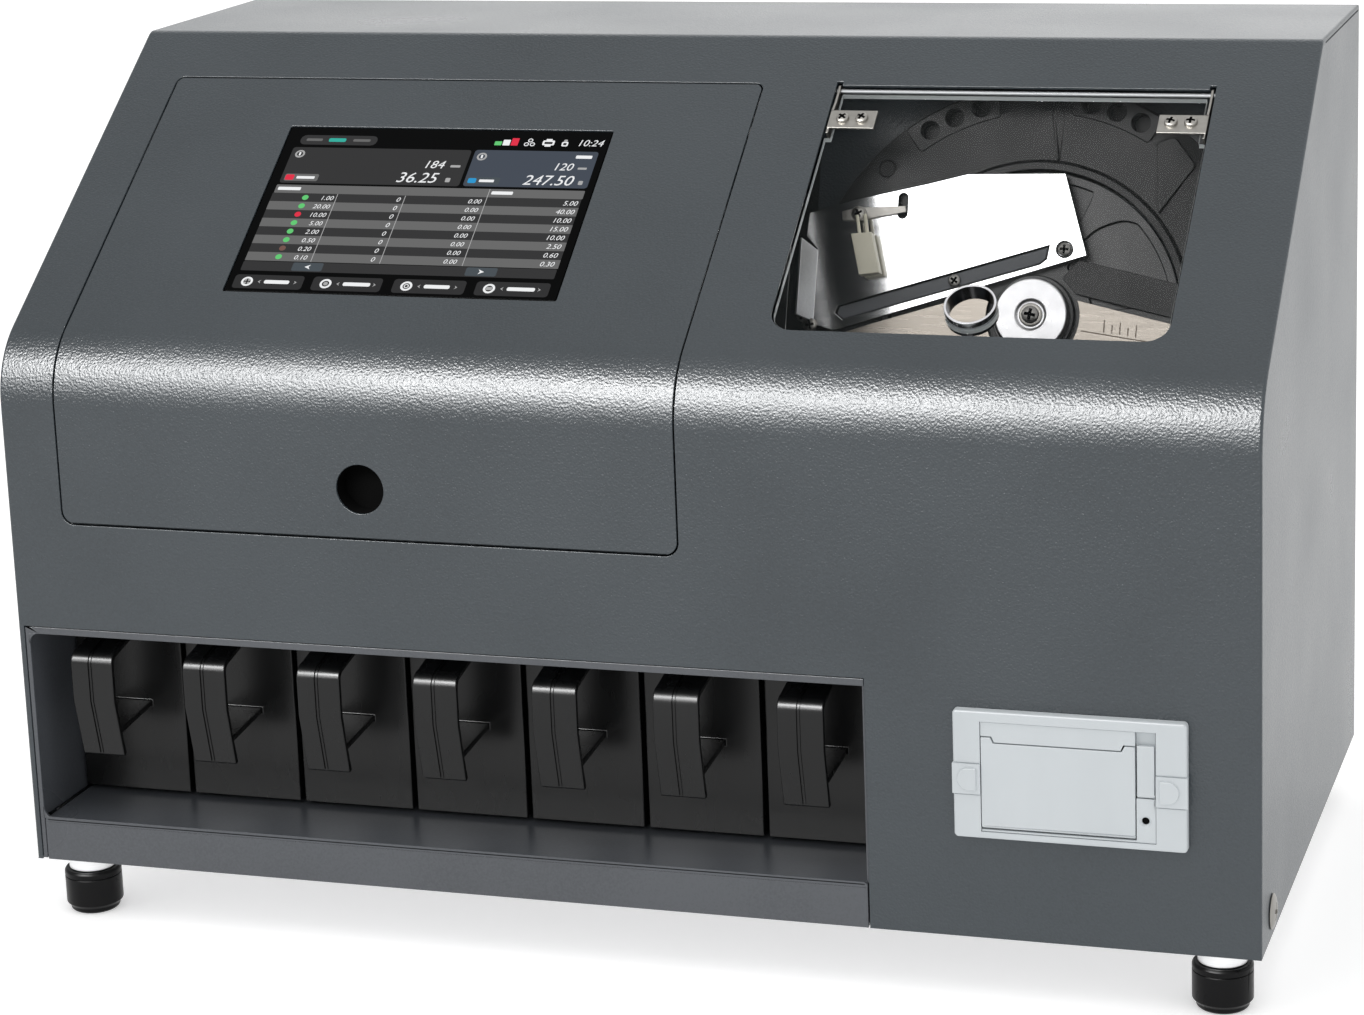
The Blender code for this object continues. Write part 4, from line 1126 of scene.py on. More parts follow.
def turned_metal(name, colour, rough, centre_point, rings):
    """Turned aluminium: fine rings about a centre."""
    made, tree, surface = shader(name)
    surface.inputs["Metallic"].default_value = 1.0
    coords = tree.nodes.new("ShaderNodeTexCoord")
    offset = tree.nodes.new("ShaderNodeVectorMath")
    offset.operation = "SUBTRACT"
    offset.inputs[1].default_value = centre_point
    tree.links.new(coords.outputs["Object"], offset.inputs[0])
    length = tree.nodes.new("ShaderNodeVectorMath")
    length.operation = "LENGTH"
    tree.links.new(offset.outputs[0], length.inputs[0])
    wave = tree.nodes.new("ShaderNodeMath")
    wave.operation = "MULTIPLY"
    wave.inputs[1].default_value = rings
    tree.links.new(length.outputs["Value"], wave.inputs[0])
    sine = tree.nodes.new("ShaderNodeMath")
    sine.operation = "SINE"
    tree.links.new(wave.outputs[0], sine.inputs[0])
    dust = clouds(tree, 160.0, 3.0)
    tree.links.new(
        blend_colours(tree, dust, scaled(colour, 0.93), scaled(colour, 1.05)),
        surface.inputs["Base Color"],
    )
    tree.links.new(spread(tree, dust, rough - 0.05, rough + 0.05), surface.inputs["Roughness"])
    emboss(tree, surface, sine.outputs[0], 0.000006)
    return made


def glowing(name, colour):
    """A patch of the lit picture under the display's glass."""
    made, tree, surface = shader(name)
    surface.inputs["Base Color"].default_value = (0.004, 0.004, 0.004, 1.0)
    surface.inputs["Roughness"].default_value = 0.16
    surface.inputs["Specular IOR Level"].default_value = 0.06
    surface.inputs["Emission Strength"].default_value = 1.0
    surface.inputs["Emission Color"].default_value = (*colour, 1.0)
    return made


def clear_sheet(name, tint, share):
    made, tree, surface = shader(name)
    surface.inputs["Base Color"].default_value = (*tint, 1.0)
    surface.inputs["Roughness"].default_value = 0.03
    surface.inputs["Alpha"].default_value = share
    return made


HUB_POINT = mech(0, 0, 0)
M = {
    "case_paint": coated("case_paint", (0.0350, 0.0445, 0.0520), 0.30, 0.00017, 860.0),
    "liner_paint": coated("liner_paint", (0.0710, 0.0770, 0.0870), 0.30, 0.00002, 1300.0, 0.5),
    "zinc": metal("zinc_steel", (0.62, 0.62, 0.63), 0.32, scale=140.0),
    "nickel": metal("nickel", (0.30, 0.29, 0.27), 0.34, scale=300.0),
    "bright": metal("bright_steel", (0.74, 0.72, 0.68), 0.24, scale=300.0),
    "aluminium": turned_metal("aluminium", (0.50, 0.50, 0.51), 0.32, HUB_POINT, 9000.0),
    "spacer": metal("spacer", (0.86, 0.865, 0.87), 0.34, (1.0, 1.0, 30.0), 60.0, metallic=0.8),
    "mirror": metal("mirror_steel", (0.93, 0.935, 0.945), 0.15, (1.0, 14.0, 14.0), 30.0, 0.000001, 0.03, 0.02),
    "level": metal("level_steel", (0.27, 0.245, 0.215), 0.30, (1.0, 20.0, 20.0), 40.0, 0.000002, 0.05, 0.06),
    "chrome": metal("chrome", (0.74, 0.74, 0.76), 0.20, scale=80.0, marks=0.000002, swing=0.03),
    "rubber": moulded("rubber", (0.0024, 0.0024, 0.0028), 0.30, 0.00001, 1500.0, 0.14),
    "black": moulded("black_plastic", (0.0028, 0.0030, 0.0032), 0.27, 0.00001, 1200.0, 0.32),
    # Flat near-black for the shade inside holes, recesses and grooves: painted shade.
    "painted_shade": moulded("pit_black", (0.0015, 0.0015, 0.0015), 0.9, 0.00001, 900.0, 0.05),
    "groove": moulded("groove_grey", (0.028, 0.032, 0.034), 0.7, 0.00001, 900.0, 0.1),
    "dark": moulded("dark_moulding", (0.0190, 0.0195, 0.020), 0.44, 0.00003, 700.0, 0.06, 0.35),
    "disc": moulded("disc_moulding", (0.026, 0.027, 0.028), 0.42, 0.00003, 500.0, 0.10, 0.3),
    "printer": moulded("printer_plastic", (0.545, 0.58, 0.60), 0.42, 0.00002, 2200.0, 0.4, 0.02),
    "nylon": moulded("nylon", (0.72, 0.69, 0.56), 0.42, 0.00002, 500.0, 0.4, 0.05),
    "clear": clear_sheet("clear_acrylic", (0.03, 0.035, 0.035), 0.05),
    "clear_edge": clear_sheet("acrylic_edge", (0.75, 0.80, 0.80), 0.65),
    "glass": moulded("display_glass", (0.0010, 0.0011, 0.0012), 0.10, 0.0, 100.0, 0.03, 0.1),
    "board": moulded("board_green", (0.02, 0.16, 0.07), 0.45, 0.00003, 900.0, 0.5, 0.3),
    "paper": moulded("paper", (0.86, 0.85, 0.82), 0.85, 0.00003, 900.0, 0.1, 0.03),
    "belt": moulded("belt_rubber", (0.016, 0.016, 0.018), 0.6, 0.00006, 1400.0, 0.3),
    "brass": metal("brass", (0.80, 0.62, 0.30), 0.25),
    "bar": moulded("bar_grey", (0.120, 0.125, 0.135), 0.40, 0.00001, 900.0, 0.2, 0.1),
    "rod": metal("rod_steel", (0.40, 0.41, 0.42), 0.30, (0.05, 1.0, 1.0), 300.0),
    "dark_screw": metal("screw_steel", (0.22, 0.215, 0.205), 0.34, scale=300.0),
    "mark": moulded("engraved_mark", (0.17, 0.13, 0.10), 0.6, 0.00001, 900.0, 0.1),
    "brushed": metal("brushed_steel", (0.80, 0.81, 0.82), 0.45, (1.0, 14.0, 14.0), 60.0, 0.000002, 0.04, 0.05),
}


# ---------------------------------------------------------------- dressing
def weighted(obj):
    """Bevel weights for a pressed case: its outer long edges round wide, every cut edge fine."""
    layer = obj.data.attributes.new("bevel_weight_edge", "FLOAT", "EDGE")
    bm = bmesh.new()
    bm.from_mesh(obj.data)
    bm.edges.ensure_lookup_table()
    x_low, x_high = at(0, 0, 0).x, at(CASE_W, 0, 0).x
    weights = []
    for edge in bm.edges:
        if len(edge.link_faces) != 2 or edge.calc_face_angle(0.0) < math.radians(32):
            weights.append(0.0)
            continue
        first, second = edge.verts
        outer = any(
            abs(first.co.x - x) < 2e-6 and abs(second.co.x - x) < 2e-6 for x in (x_low, x_high)
        )
        weights.append(1.0 if outer and edge.calc_length() > 0.0002 and is_rim(first.co) and is_rim(second.co) else 0.2)
    bm.free()
    layer.data.foreach_set("value", weights)


def is_rim(point):
    """True on the case's side outline, and not on a screw hole in its side."""
    local = (point - ORIGIN) * 1000
    u = min(local.z, U_FRONT)
    if abs(local.y) < 0.02 or abs(local.z - CASE_H) < 0.02:
        return True
    s = (local.y * math.cos(SLOPE) + (local.z - BEND_Z) * math.sin(SLOPE))
    depth = local.y * math.sin(SLOPE) - (local.z - BEND_Z) * math.cos(SLOPE)
    if abs(depth) < 0.02:
        return True
    if u >= U_FRONT - 0.01:
        r = math.hypot(local.y - BEND_R, local.z - U_FRONT)
        if abs(r - BEND_R) < 0.05 and local.y < BEND_R:
            return True
        y_turn, z_turn = on_slope(S_END, TOP_R)
        if abs(math.hypot(local.y - y_turn, local.z - z_turn) - TOP_R) < 0.05 and s > 200:
            return True
    return False


def dress(obj, finish_name, width=0.35, segments=2, degrees=32, by_weight=False):
    obj.data.materials.clear()
    obj.data.materials.append(M[finish_name])
    obj.data.shade_smooth()
    if width:
        bevel = obj.modifiers.new("soft_edges", "BEVEL")
        bevel.width = width * 0.001
        bevel.segments = segments
        bevel.use_clamp_overlap = False
        bevel.harden_normals = False
        if by_weight:
            bevel.limit_method = "WEIGHT"
        else:
            bevel.limit_method = "ANGLE"
            bevel.angle_limit = math.radians(degrees)
    else:
        obj.data.set_sharp_from_angle(angle=math.radians(28))
        return obj
    normals = obj.modifiers.new("normals", "WEIGHTED_NORMAL")
    normals.mode = "FACE_AREA"
    normals.weight = 50
    normals.keep_sharp = False
    return obj


def show(node_name, finish_name, width=0.35, segments=2, degrees=32, by_weight=False):
    """Puts a fine piece in the place of its CAD node."""
    obj = bpy.data.objects[node_name + LOOK]
    dress(obj, finish_name, width, segments, degrees, by_weight)
    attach(obj, frame["nodes"][node_name]["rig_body"])
    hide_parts(node_name)
    return obj


def add(obj, body, finish_name, width=0.2, segments=2, degrees=32):
    """A small piece that the frame doesn't hold by itself."""
    dress(obj, finish_name, width, segments, degrees)
    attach(obj, body)
    return obj


def recess(origin, axis, reach, width, low, high, turn=0.0):
    """Two crossed slots for a screw head, as cutters."""
    axis = axis.normalized()
    first = axis.orthogonal().normalized()
    second = axis.cross(first)
    t = math.radians(turn)
    first, second = (
        first * math.cos(t) + second * math.sin(t),
        second * math.cos(t) - first * math.sin(t),
    )
    cutters = []
    for along, across in ((first, second), (second, first)):
        base = origin + axis * low * 0.001
        outline = [
            base + (along * i * reach + across * j * width) * 0.001
            for i, j in ((-1, -1), (1, -1), (1, 1), (-1, 1))
        ]
        cutters.append(prism("recess", outline, axis * (high - low) * 0.001))
    return cutters


def pan_screw(name, body, origin, axis, r, h, finish_name="nickel", turn=20.0):
    """A pan-head screw with a cross recess, its seat at origin."""
    profile = [(0, -1.2), (r * 0.5, -1.2), (r * 0.5, 0), (r, 0), (r, h * 0.4)]
    profile += [(r * math.cos(t), h * 0.4 + h * 0.6 * math.sin(t)) for t in (0.4, 0.8, 1.2)]
    profile += [(0, h)]
    head = turned(name, origin, axis, profile, None, 14)
    cut(head, *recess(origin, axis, r * 0.66, r * 0.19, h * 0.2, h + 1, turn))
    add(head, body, finish_name, 0.0)
    # The faces inside the cross recess are painted near-black: painted shade in the recess.
    head.data.materials.append(M["painted_shade"])
    for face in head.data.polygons:
        away = (face.center - origin) * 1000
        up = away.dot(axis.normalized())
        out = (away - axis.normalized() * up).length
        if out < r * 0.72 and 0 < up < h * (0.38 + 0.6 * math.sqrt(1 - (out / r) ** 2)) - 0.12:
            face.material_index = 1
    return head


def soft(points, r, steps=5, least=14.0):
    """A closed outline with every sharp corner rounded."""
    out = []
    count = len(points)
    for i in range(count):
        before, here, after = (Vector(points[j % count]) for j in (i - 1, i, i + 1))
        come, go = here - before, after - here
        if come.length < 1e-6 or go.length < 1e-6 or math.degrees(come.angle(go)) < least:
            out.append(tuple(here))
            continue
        back = min(r, come.length * 0.48)
        front = min(r, go.length * 0.48)
        first, last = here - come.normalized() * back, here + go.normalized() * front
        for k in range(steps + 1):
            t = k / steps
            out.append(tuple(first * (1 - t) ** 2 + here * 2 * t * (1 - t) + last * t * t))
    return out


def band(points, outward, inward):
    """A closed outline hugging an open path: outward to its left, inward to its right."""
    shifted = []
    for i, point in enumerate(points):
        first = Vector(points[max(0, i - 1)])
        last = Vector(points[min(len(points) - 1, i + 1)])
        run = (last - first).normalized()
        normal = Vector((-run.y, run.x))
        shifted.append((Vector(point) + normal * outward, Vector(point) - normal * inward))
    return [tuple(a) for a, _ in shifted] + [tuple(b) for _, b in reversed(shifted)]


# ---------------------------------------------------------------- case
case = bpy.data.objects["outer_case" + LOOK]
weighted(case)
show("outer_case", "case_paint", 1.6, 3, 32, True)
show("base_chassis", "zinc", 0.3)
show("rear_panel", "case_paint", 0.4)
liner = bpy.data.objects["bay_liner" + LOOK]
corner = at(5.8, 0.4, 22.0)
join(
    liner,
    front_prism("corner_low", [(5.7, 22.0), (11.8, 22.0)] + [(5.8 + 6.0 - 6.0 * math.sin(t * math.pi / 12), 28.0 - 6.0 * math.cos(t * math.pi / 12)) for t in range(7)] + [(5.7, 28.0)], 0.4, 2.0),
    front_prism("corner_high", [(5.7, 121.1), (5.7, 116.0)] + [(5.8 + 5.0 - 5.0 * math.cos(t * math.pi / 12), 116.0 + 5.0 * math.sin(t * math.pi / 12)) for t in range(7)], 0.4, 2.0),
)
show("bay_liner", "liner_paint", 0.35, 3)
tray = bpy.data.objects["bay_tray" + LOOK]
layer = tray.data.attributes.new("bevel_weight_edge", "FLOAT", "EDGE")
lip = at(0, 0.2, TRAY_Z)
for edge in tray.data.edges:
    ends = [tray.data.vertices[i].co for i in edge.vertices]
    on_lip = all(abs(e.y - lip.y) < 2e-5 and abs(e.z - lip.z) < 2e-5 for e in ends)
    layer.data[edge.index].value = 1.0 if on_lip else 0.15
show("bay_tray", "liner_paint", 1.4, 6, 32, True)
for side, x, way in (("left", 0.0, -X_AXIS), ("right", CASE_W, X_AXIS)):
    low = min(x, x + way.x * 0.04)
    line = block(f"case_seam_{side}", (low - 0.2, 200.0, 398.3), (low + 0.24, 322.0, 398.75))
    add(line, "root", "groove", 0.0)
for corner, (x, y) in FEET.items():
    foot = bpy.data.objects[f"foot_{corner}" + LOOK]
    cut(foot, turned("top_groove", at(x, y, 0), Z_AXIS, [(14.1, -11.4), (16, -11.4), (16, -11.0), (14.1, -11.0)], None, 24))
    show(f"foot_{corner}", "rubber", 0.35, 3)
    show(f"foot_spacer_{corner}", "spacer", 0.4)
for side, x, way in (("left", 0.0, -X_AXIS), ("right", CASE_W, X_AXIS)):
    screw = bpy.data.objects[f"case_screw_{side}" + LOOK]
    cut(screw, *recess(at(x, 29.0, 13.3), way, 4.2, 1.0, 1.2, 6.0, 25))
    show(f"case_screw_{side}", "nickel", 0.2)
for i, (x, z) in enumerate(
    ((12, 12), (315, 12), (618, 12), (12, 200), (618, 200), (12, 389), (315, 389), (618, 389))
):
    pan_screw(f"rear_panel_screw_{i + 1}", "root", at(x, 323.7, z), Y_AXIS, 3.2, 1.3, turn=17 * i)

# ---------------------------------------------------------------- coin boxes
handle_path = [(46.6, 117.9), (14.5, 110.8)] + arc(13.0, 103.6, 7.0, 100, 180, 4) + [(6.0, 85.0), (12.4, 55.6)]
for i in range(BOX_COUNT):
    mid = BOX_X0 + BOX_PITCH * i + BOX_W / 2
    show(f"coin_box_{i + 1}", "black", 0.75, 4, 40)
    line = mid - HANDLE_W / 2 + HANDLE_W * 0.43
    # Two thin threads draw the mould line down each handle; the first is near-black, painted shade of the line's
    # groove.
    for name, x, wide in (("a", line, 0.09), ("b", line + 1.5, 0.09)):
        thread = side_prism(f"handle_line_{i + 1}_{name}", band(handle_path, -0.04, 0.5), x - wide, x + wide)
        add(thread, f"coin_box_{i + 1}", "painted_shade" if name == "a" else "black", 0.0)

# ---------------------------------------------------------------- access door
show("access_door", "case_paint", 0.35, 2)
# A near-black cup behind the door's finger hole: painted shade, standing in for the dim inside of the case.
cup = turned(
    "door_finger_cup",
    at(FINGER_HOLE[0], 0, FINGER_HOLE[1]),
    Y_AXIS,
    [(FINGER_HOLE[2] + 0.2, SHEET + 0.1), (FINGER_HOLE[2] + 1.6, SHEET + 0.1), (FINGER_HOLE[2] + 1.6, 14), (0, 14), (0, 12.6), (FINGER_HOLE[2] + 0.2, 12.6)],
    None,
    28,
)
add(cup, "access_door", "painted_shade", 0.2)
show("touch_screen", "glass", 0.35, 2)
show("display_housing", "black", 0.8)
for side in ("left", "right"):
    show(f"door_hinge_arm_{side}", "zinc", 0.3)
show("door_pivot_rod", "zinc", 0.2)

# ---------------------------------------------------------------- the display's picture
INK = {
    "ink_card": (0.029, 0.029, 0.030),
    "ink_blue": (0.052, 0.064, 0.086),
    "ink_row": (0.135, 0.135, 0.135),
    "ink_button": (0.024, 0.024, 0.025),
    "ink_arrow": (0.060, 0.074, 0.086),
    "ink_line": (0.40, 0.40, 0.40),
    "ink_dim": (0.20, 0.20, 0.20),
    "ink_white": (0.86, 0.87, 0.88),
    "ink_green": (0.12, 0.58, 0.17),
    "ink_red": (0.75, 0.025, 0.06),
    "ink_brown": (0.17, 0.085, 0.07),
    "ink_teal": (0.03, 0.42, 0.34),
    "ink_azure": (0.02, 0.30, 0.62),
}
for ink, colour in INK.items():
    M[ink] = glowing(ink, colour)
INKS = list(INK)
picture = bmesh.new()


def picture_point(u, v, level):
    return slope_at(SCREEN_X[0] + u, SCREEN_S[0] + v, 0.4 - 0.015 * level)


def patch(points, ink, level):
    face = picture.faces.new([picture.verts.new(picture_point(u, v, level)) for u, v in points])
    face.material_index = INKS.index(ink)
    return face


def card(u0, u1, v0, v1, ink, level, r=1.2):
    patch(rounded(u0, u1, v0, v1, min(r, (u1 - u0) / 2.01, (v1 - v0) / 2.01), 1), ink, level)


def disc(u, v, r, ink, level):
    patch([(u + r * math.cos(t * math.pi / 10), v + r * math.sin(t * math.pi / 10)) for t in range(20)], ink, level)


def figures(text, u, v, height, ink, level, shear=0.22):
    """Numerals right-aligned at u with their feet on v."""
    curve = bpy.data.curves.new("figures", "FONT")
    curve.body = text
    curve.size = 1.0
    curve.shear = shear
    curve.align_x = "RIGHT"
    curve.resolution_u = 3
    holder = bpy.data.objects.new("figures", curve)
    bpy.context.scene.collection.objects.link(holder)
    bpy.context.view_layer.update()
    mesh = bpy.data.meshes.new_from_object(
        holder.evaluated_get(bpy.context.evaluated_depsgraph_get())
    )
    size = height / 0.70
    first = len(picture.verts)
    picture.from_mesh(mesh)
    picture.verts.ensure_lookup_table()
    for vert in picture.verts[first:]:
        vert.co = picture_point(u + vert.co.x * size, v + vert.co.y * size, level)
    fresh = set(picture.verts[first:])
    for face in picture.faces:
        if face.verts[0] in fresh:
            face.material_index = INKS.index(ink)
    bpy.data.objects.remove(holder)
    bpy.data.curves.remove(curve)
    bpy.data.meshes.remove(mesh)


def ring_mark(u, v, r, ink, level, hole_ink):
    disc(u, v, r, ink, level)
    disc(u, v, r * 0.62, hole_ink, level + 1)


card(7.7, 50.3, 102.4, 109.2, "ink_card", 1, 3.0)
card(11.0, 20.0, 105.0, 106.8, "ink_row", 2, 0.6)
card(23.5, 33.0, 104.6, 107.2, "ink_teal", 2, 0.8)
card(37.0, 46.5, 105.0, 106.8, "ink_row", 2, 0.6)
for i, ink in enumerate(("ink_green", "ink_white", "ink_red")):
    card(114.6 + 4.4 * i, 118.4 + 4.4 * i, 104.2, 107.0 + 1.2 * i, ink, 1, 0.3)
for du, dv in ((-1.6, -1.3), (1.6, -1.3), (0, 1.4)):
    ring_mark(133.4 + du, 106.6 + dv, 1.35, "ink_white", 1, "ink_card")
card(140.2, 146.6, 104.8, 108.2, "ink_white", 1, 0.7)
card(141.2, 145.6, 105.6, 107.2, "ink_card", 2, 0.4)
card(141.8, 145.0, 103.8, 105.2, "ink_white", 3, 0.2)
card(141.8, 145.0, 108.0, 109.2, "ink_white", 3, 0.2)
card(150.6, 154.0, 104.2, 107.4, "ink_white", 1, 0.8)
card(151.4, 153.2, 105.0, 106.6, "ink_card", 2, 0.4)
card(151.3, 153.3, 107.3, 109.0, "ink_line", 1, 0.8)
figures("10:24", 172.6, 104.6, 4.4, "ink_white", 1)
card(5.6, 103.8, 74.9, 100.4, "ink_card", 1, 1.6)
card(105.8, 171.9, 75.2, 100.7, "ink_blue", 1, 1.6)
ring_mark(10.6, 95.6, 2.7, "ink_line", 2, "ink_card")
ring_mark(110.4, 96.0, 2.7, "ink_line", 2, "ink_blue")
card(10.1, 11.1, 94.4, 96.8, "ink_white", 4, 0.3)
card(109.9, 110.9, 94.8, 97.2, "ink_white", 4, 0.3)
figures("184", 91.8, 87.2, 5.3, "ink_white", 2)
figures("36.25", 90.6, 77.0, 7.0, "ink_white", 2)
figures("120", 160.8, 87.4, 5.0, "ink_white", 2)
figures("247.50", 163.2, 77.0, 6.8, "ink_white", 2)
card(95.4, 100.8, 88.0, 89.6, "ink_line", 2, 0.4)
card(95.4, 98.0, 77.6, 80.6, "ink_line", 2, 0.6)
card(163.6, 168.4, 88.2, 89.6, "ink_line", 2, 0.4)
card(166.4, 168.8, 77.6, 80.4, "ink_line", 2, 0.6)
card(160.6, 169.2, 95.8, 98.0, "ink_white", 2, 0.5)
card(7.4, 26.0, 76.4, 81.4, "ink_row", 2, 1.0)
card(7.8, 12.6, 77.0, 80.8, "ink_red", 3, 0.8)
card(14.0, 24.0, 78.0, 79.8, "ink_white", 3, 0.4)
card(106.8, 124.6, 76.6, 81.6, "ink_arrow", 2, 1.0)
card(107.6, 112.0, 77.4, 80.8, "ink_azure", 3, 0.8)
card(113.6, 121.6, 78.2, 80.0, "ink_white", 3, 0.4)
card(5.0, 171.6, 67.8, 73.6, "ink_row", 1, 0.6)
card(6.4, 19.0, 69.8, 72.0, "ink_white", 2, 0.5)
card(122.6, 134.0, 69.8, 72.0, "ink_white", 2, 0.5)
AMOUNTS = ("5.00", "40.00", "10.00", "15.00", "10.00", "2.50", "0.60", "0.30")
VALUES = ("1.00", "20.00", "10.00", "5.00", "2.00", "0.50", "0.20", "0.10")
LAMPS = ("green", "green", "red", "green", "green", "green", "brown", "green")
for i in range(8):
    v = 64.85 - 5.87 * i
    slide = -1.3 * i / 7
    card(4.6, 171.2, v - 2.93, v + 2.93, "ink_card" if i % 2 == 0 else "ink_row", 1, 0.2)
    disc(23.4 + slide, v, 1.75, f"ink_{LAMPS[i]}", 2)
    figures(VALUES[i], 38.8 + slide, v - 1.5, 2.9, "ink_white", 2)
    figures("0", 75.2 + slide, v - 1.5, 3.0, "ink_white", 2)
    figures("0.00", 118.8 + slide, v - 1.5, 2.9, "ink_white", 2)
    figures(AMOUNTS[i], 169.8 + slide, v - 1.5, 3.1, "ink_white", 2)
for u, v1 in ((40.4, 67.6), (77.4, 67.6), (121.2, 73.4)):
    card(u - 0.2, u + 0.2, 21.0, v1, "ink_line", 4, 0.1)
card(4.4, 171.0, 14.0, 20.4, "ink_card", 1, 0.8)
for u, way in ((39.8, -1), (132.2, 1)):
    card(u - 8.2, u + 8.2, 14.6, 20.2, "ink_arrow", 2, 1.0)
    patch([(u + 1.6 * way, 17.4), (u - 1.6 * way, 19.0), (u - 0.6 * way, 17.4), (u - 1.6 * way, 15.8)][::way], "ink_white", 3)
for i, (u0, u1) in enumerate(((3.4, 40.8), (45.8, 82.8), (88.8, 126.9), (132.2, 170.6))):
    card(u0, u1, 2.0, 11.2, "ink_button", 1, 1.8)
    ring_mark(u0 + 7.2, 6.6, 3.1, "ink_white", 2, "ink_button")
    if i == 0:
        for du, dv in ((-1.0, -1.0), (1.0, -1.0), (-1.0, 1.0), (1.0, 1.0)):
            disc(u0 + 7.2 + du, 6.6 + dv, 0.7, "ink_line", 4)
    elif i == 1:
        disc(u0 + 7.2, 6.6, 1.2, "ink_line", 4)
    elif i == 2:
        ring_mark(u0 + 7.2, 6.6, 1.3, "ink_white", 4, "ink_button")
    else:
        card(u0 + 5.6, u0 + 8.8, 5.6, 7.6, "ink_line", 4, 0.3)
    card(u0 + 16.4, u0 + 30.0 + (i % 2), 5.5, 7.9, "ink_white", 2, 0.9)
    for u, way in ((u0 + 13.8, -1), (u0 + 33.2, 1)):
        patch([(u + 0.8 * way, 6.7), (u - 0.8 * way, 7.9), (u - 0.2 * way, 6.7), (u - 0.8 * way, 5.5)][::way], "ink_line", 2)
bmesh.ops.recalc_face_normals(picture, faces=picture.faces)
for face in picture.faces:
    face.normal_update()
    if face.normal.dot(SLOPE_OUT) < 0:
        face.normal_flip()
mesh = bpy.data.meshes.new("display_picture")
picture.to_mesh(mesh)
picture.free()
picture_obj = bpy.data.objects.new("display_picture", mesh)
bpy.context.scene.collection.objects.link(picture_obj)
for ink in INKS:
    mesh.materials.append(M[ink])
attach(picture_obj, "access_door")

# ---------------------------------------------------------------- clear lid
lid = show("window_lid", "clear", 0.4)
lid.data.materials.append(M["clear_edge"])
for face in lid.data.polygons:
    if abs(face.normal.dot(SLOPE_OUT)) < 0.5:
        face.material_index = 1
show("lid_finger_ring", "chrome", 0.3, 3)
show("lid_hinge_rod", "rod", 0.3)
for side in ("left", "right"):
    show(f"lid_bracket_{side}", "nickel", 0.2)
for i, (x, s) in enumerate(((399.6, 177.5), (409.3, 177.7), (563.4, 178.1), (573.1, 178.3))):
    pan_screw(f"lid_screw_{i + 1}", "window_lid", slope_at(x, s, 0.1), SLOPE_OUT, 3.3, 2.2, turn=12 * i)

# ---------------------------------------------------------------- hopper, disc and hub
ring = bpy.data.objects["hopper_ring" + LOOK]
for name, a0, a1 in (("pad_left", 102.5, 127.5), ("pad_right", 59.0, 82.5)):
    join(ring, mech_prism(name, soft(arc(0, 0, 102.4, a0, a1, 4) + arc(0, 0, 116.4, a1, a0, 4), 3.0), -3.5, 0.35))
cut(
    ring,
    *[
        rod("boss_hole", mech(109.5 * math.cos(math.radians(d)), 109.5 * math.sin(math.radians(d)), 0), MECH_AXIS, 4.8, -9, 4, None, 14)
        for d in (122.2, 114.9, 107.4, 77.7, 70.7, 63.7)
    ],
)
join(
    ring,
    mech_prism("rib", soft([(57.4, 88.0), (59.4, 52.4), (77.0, 77.0), (66.0, 91.0)], 2.0), -3.0, 1.1),
    mech_prism("seam", [(2.4, 110.0), (3.4, 110.0), (8.3, 78.8), (7.3, 78.8)], -3.0, 0.0),
    turned("boss", mech(-79.6, 73.1, 0), MECH_AXIS, [(3.9, -4), (4.6, -4), (4.6, 0.2), (3.9, 0.2)], None, 16),
)
show("hopper_ring", "dark", 0.3, 3)
disc_obj = bpy.data.objects["feed_disc" + LOOK]
bpy.data.objects.remove(disc_obj)
disc_obj = turned(
    "feed_disc",
    centre,
    MECH_AXIS,
    [(6.2, -7.2), (DISC_R, -7.2), (DISC_R, -2.6), (20.6, -2.6), (20.6, 1.2), (6.2, 1.2)],
    None,
    60,
)
cut(
    disc_obj,
    *[
        mech_prism(
            "pocket",
            soft(
                arc(0, 0, 68.5, t + 7, t + 45, 6)
                + [(64.0 * math.cos(math.radians(t + 51)), 64.0 * math.sin(math.radians(t + 51)))]
                + [(50.0 * math.cos(math.radians(t + 60)), 50.0 * math.sin(math.radians(t + 60)))]
                + arc(0, 0, 29.0, t + 60, t + 7, 3),
                9.0,
                7,
            ),
            -4.6,
            0,
        )
        for t in range(0, 360, 60)
    ],
)
show("feed_disc", "disc", 0.5, 3)
show("hub_cap", "aluminium", 0.4, 3)
hub_washer = turned(
    "hub_washer", mech(0, 0, 0), MECH_AXIS, [(0, 5.55), (5.9, 5.55), (5.9, 6.3), (4.9, 6.6), (0, 6.6)], None, 24
)
add(hub_washer, "feed_disc", "nickel", 0.15)
pan_screw("hub_screw", "feed_disc", mech(0, 0, 6.6), MECH_AXIS, 4.4, 2.0, "dark_screw", 34)
for name, finish_name in (("feed_shaft", "zinc"), ("feed_pulley", "aluminium"), ("motor_pulley", "aluminium"), ("feed_motor", "zinc"), ("drive_belt", "belt")):
    show(name, finish_name, 0.25)
show("mechanism_plate", "case_paint", 0.3)

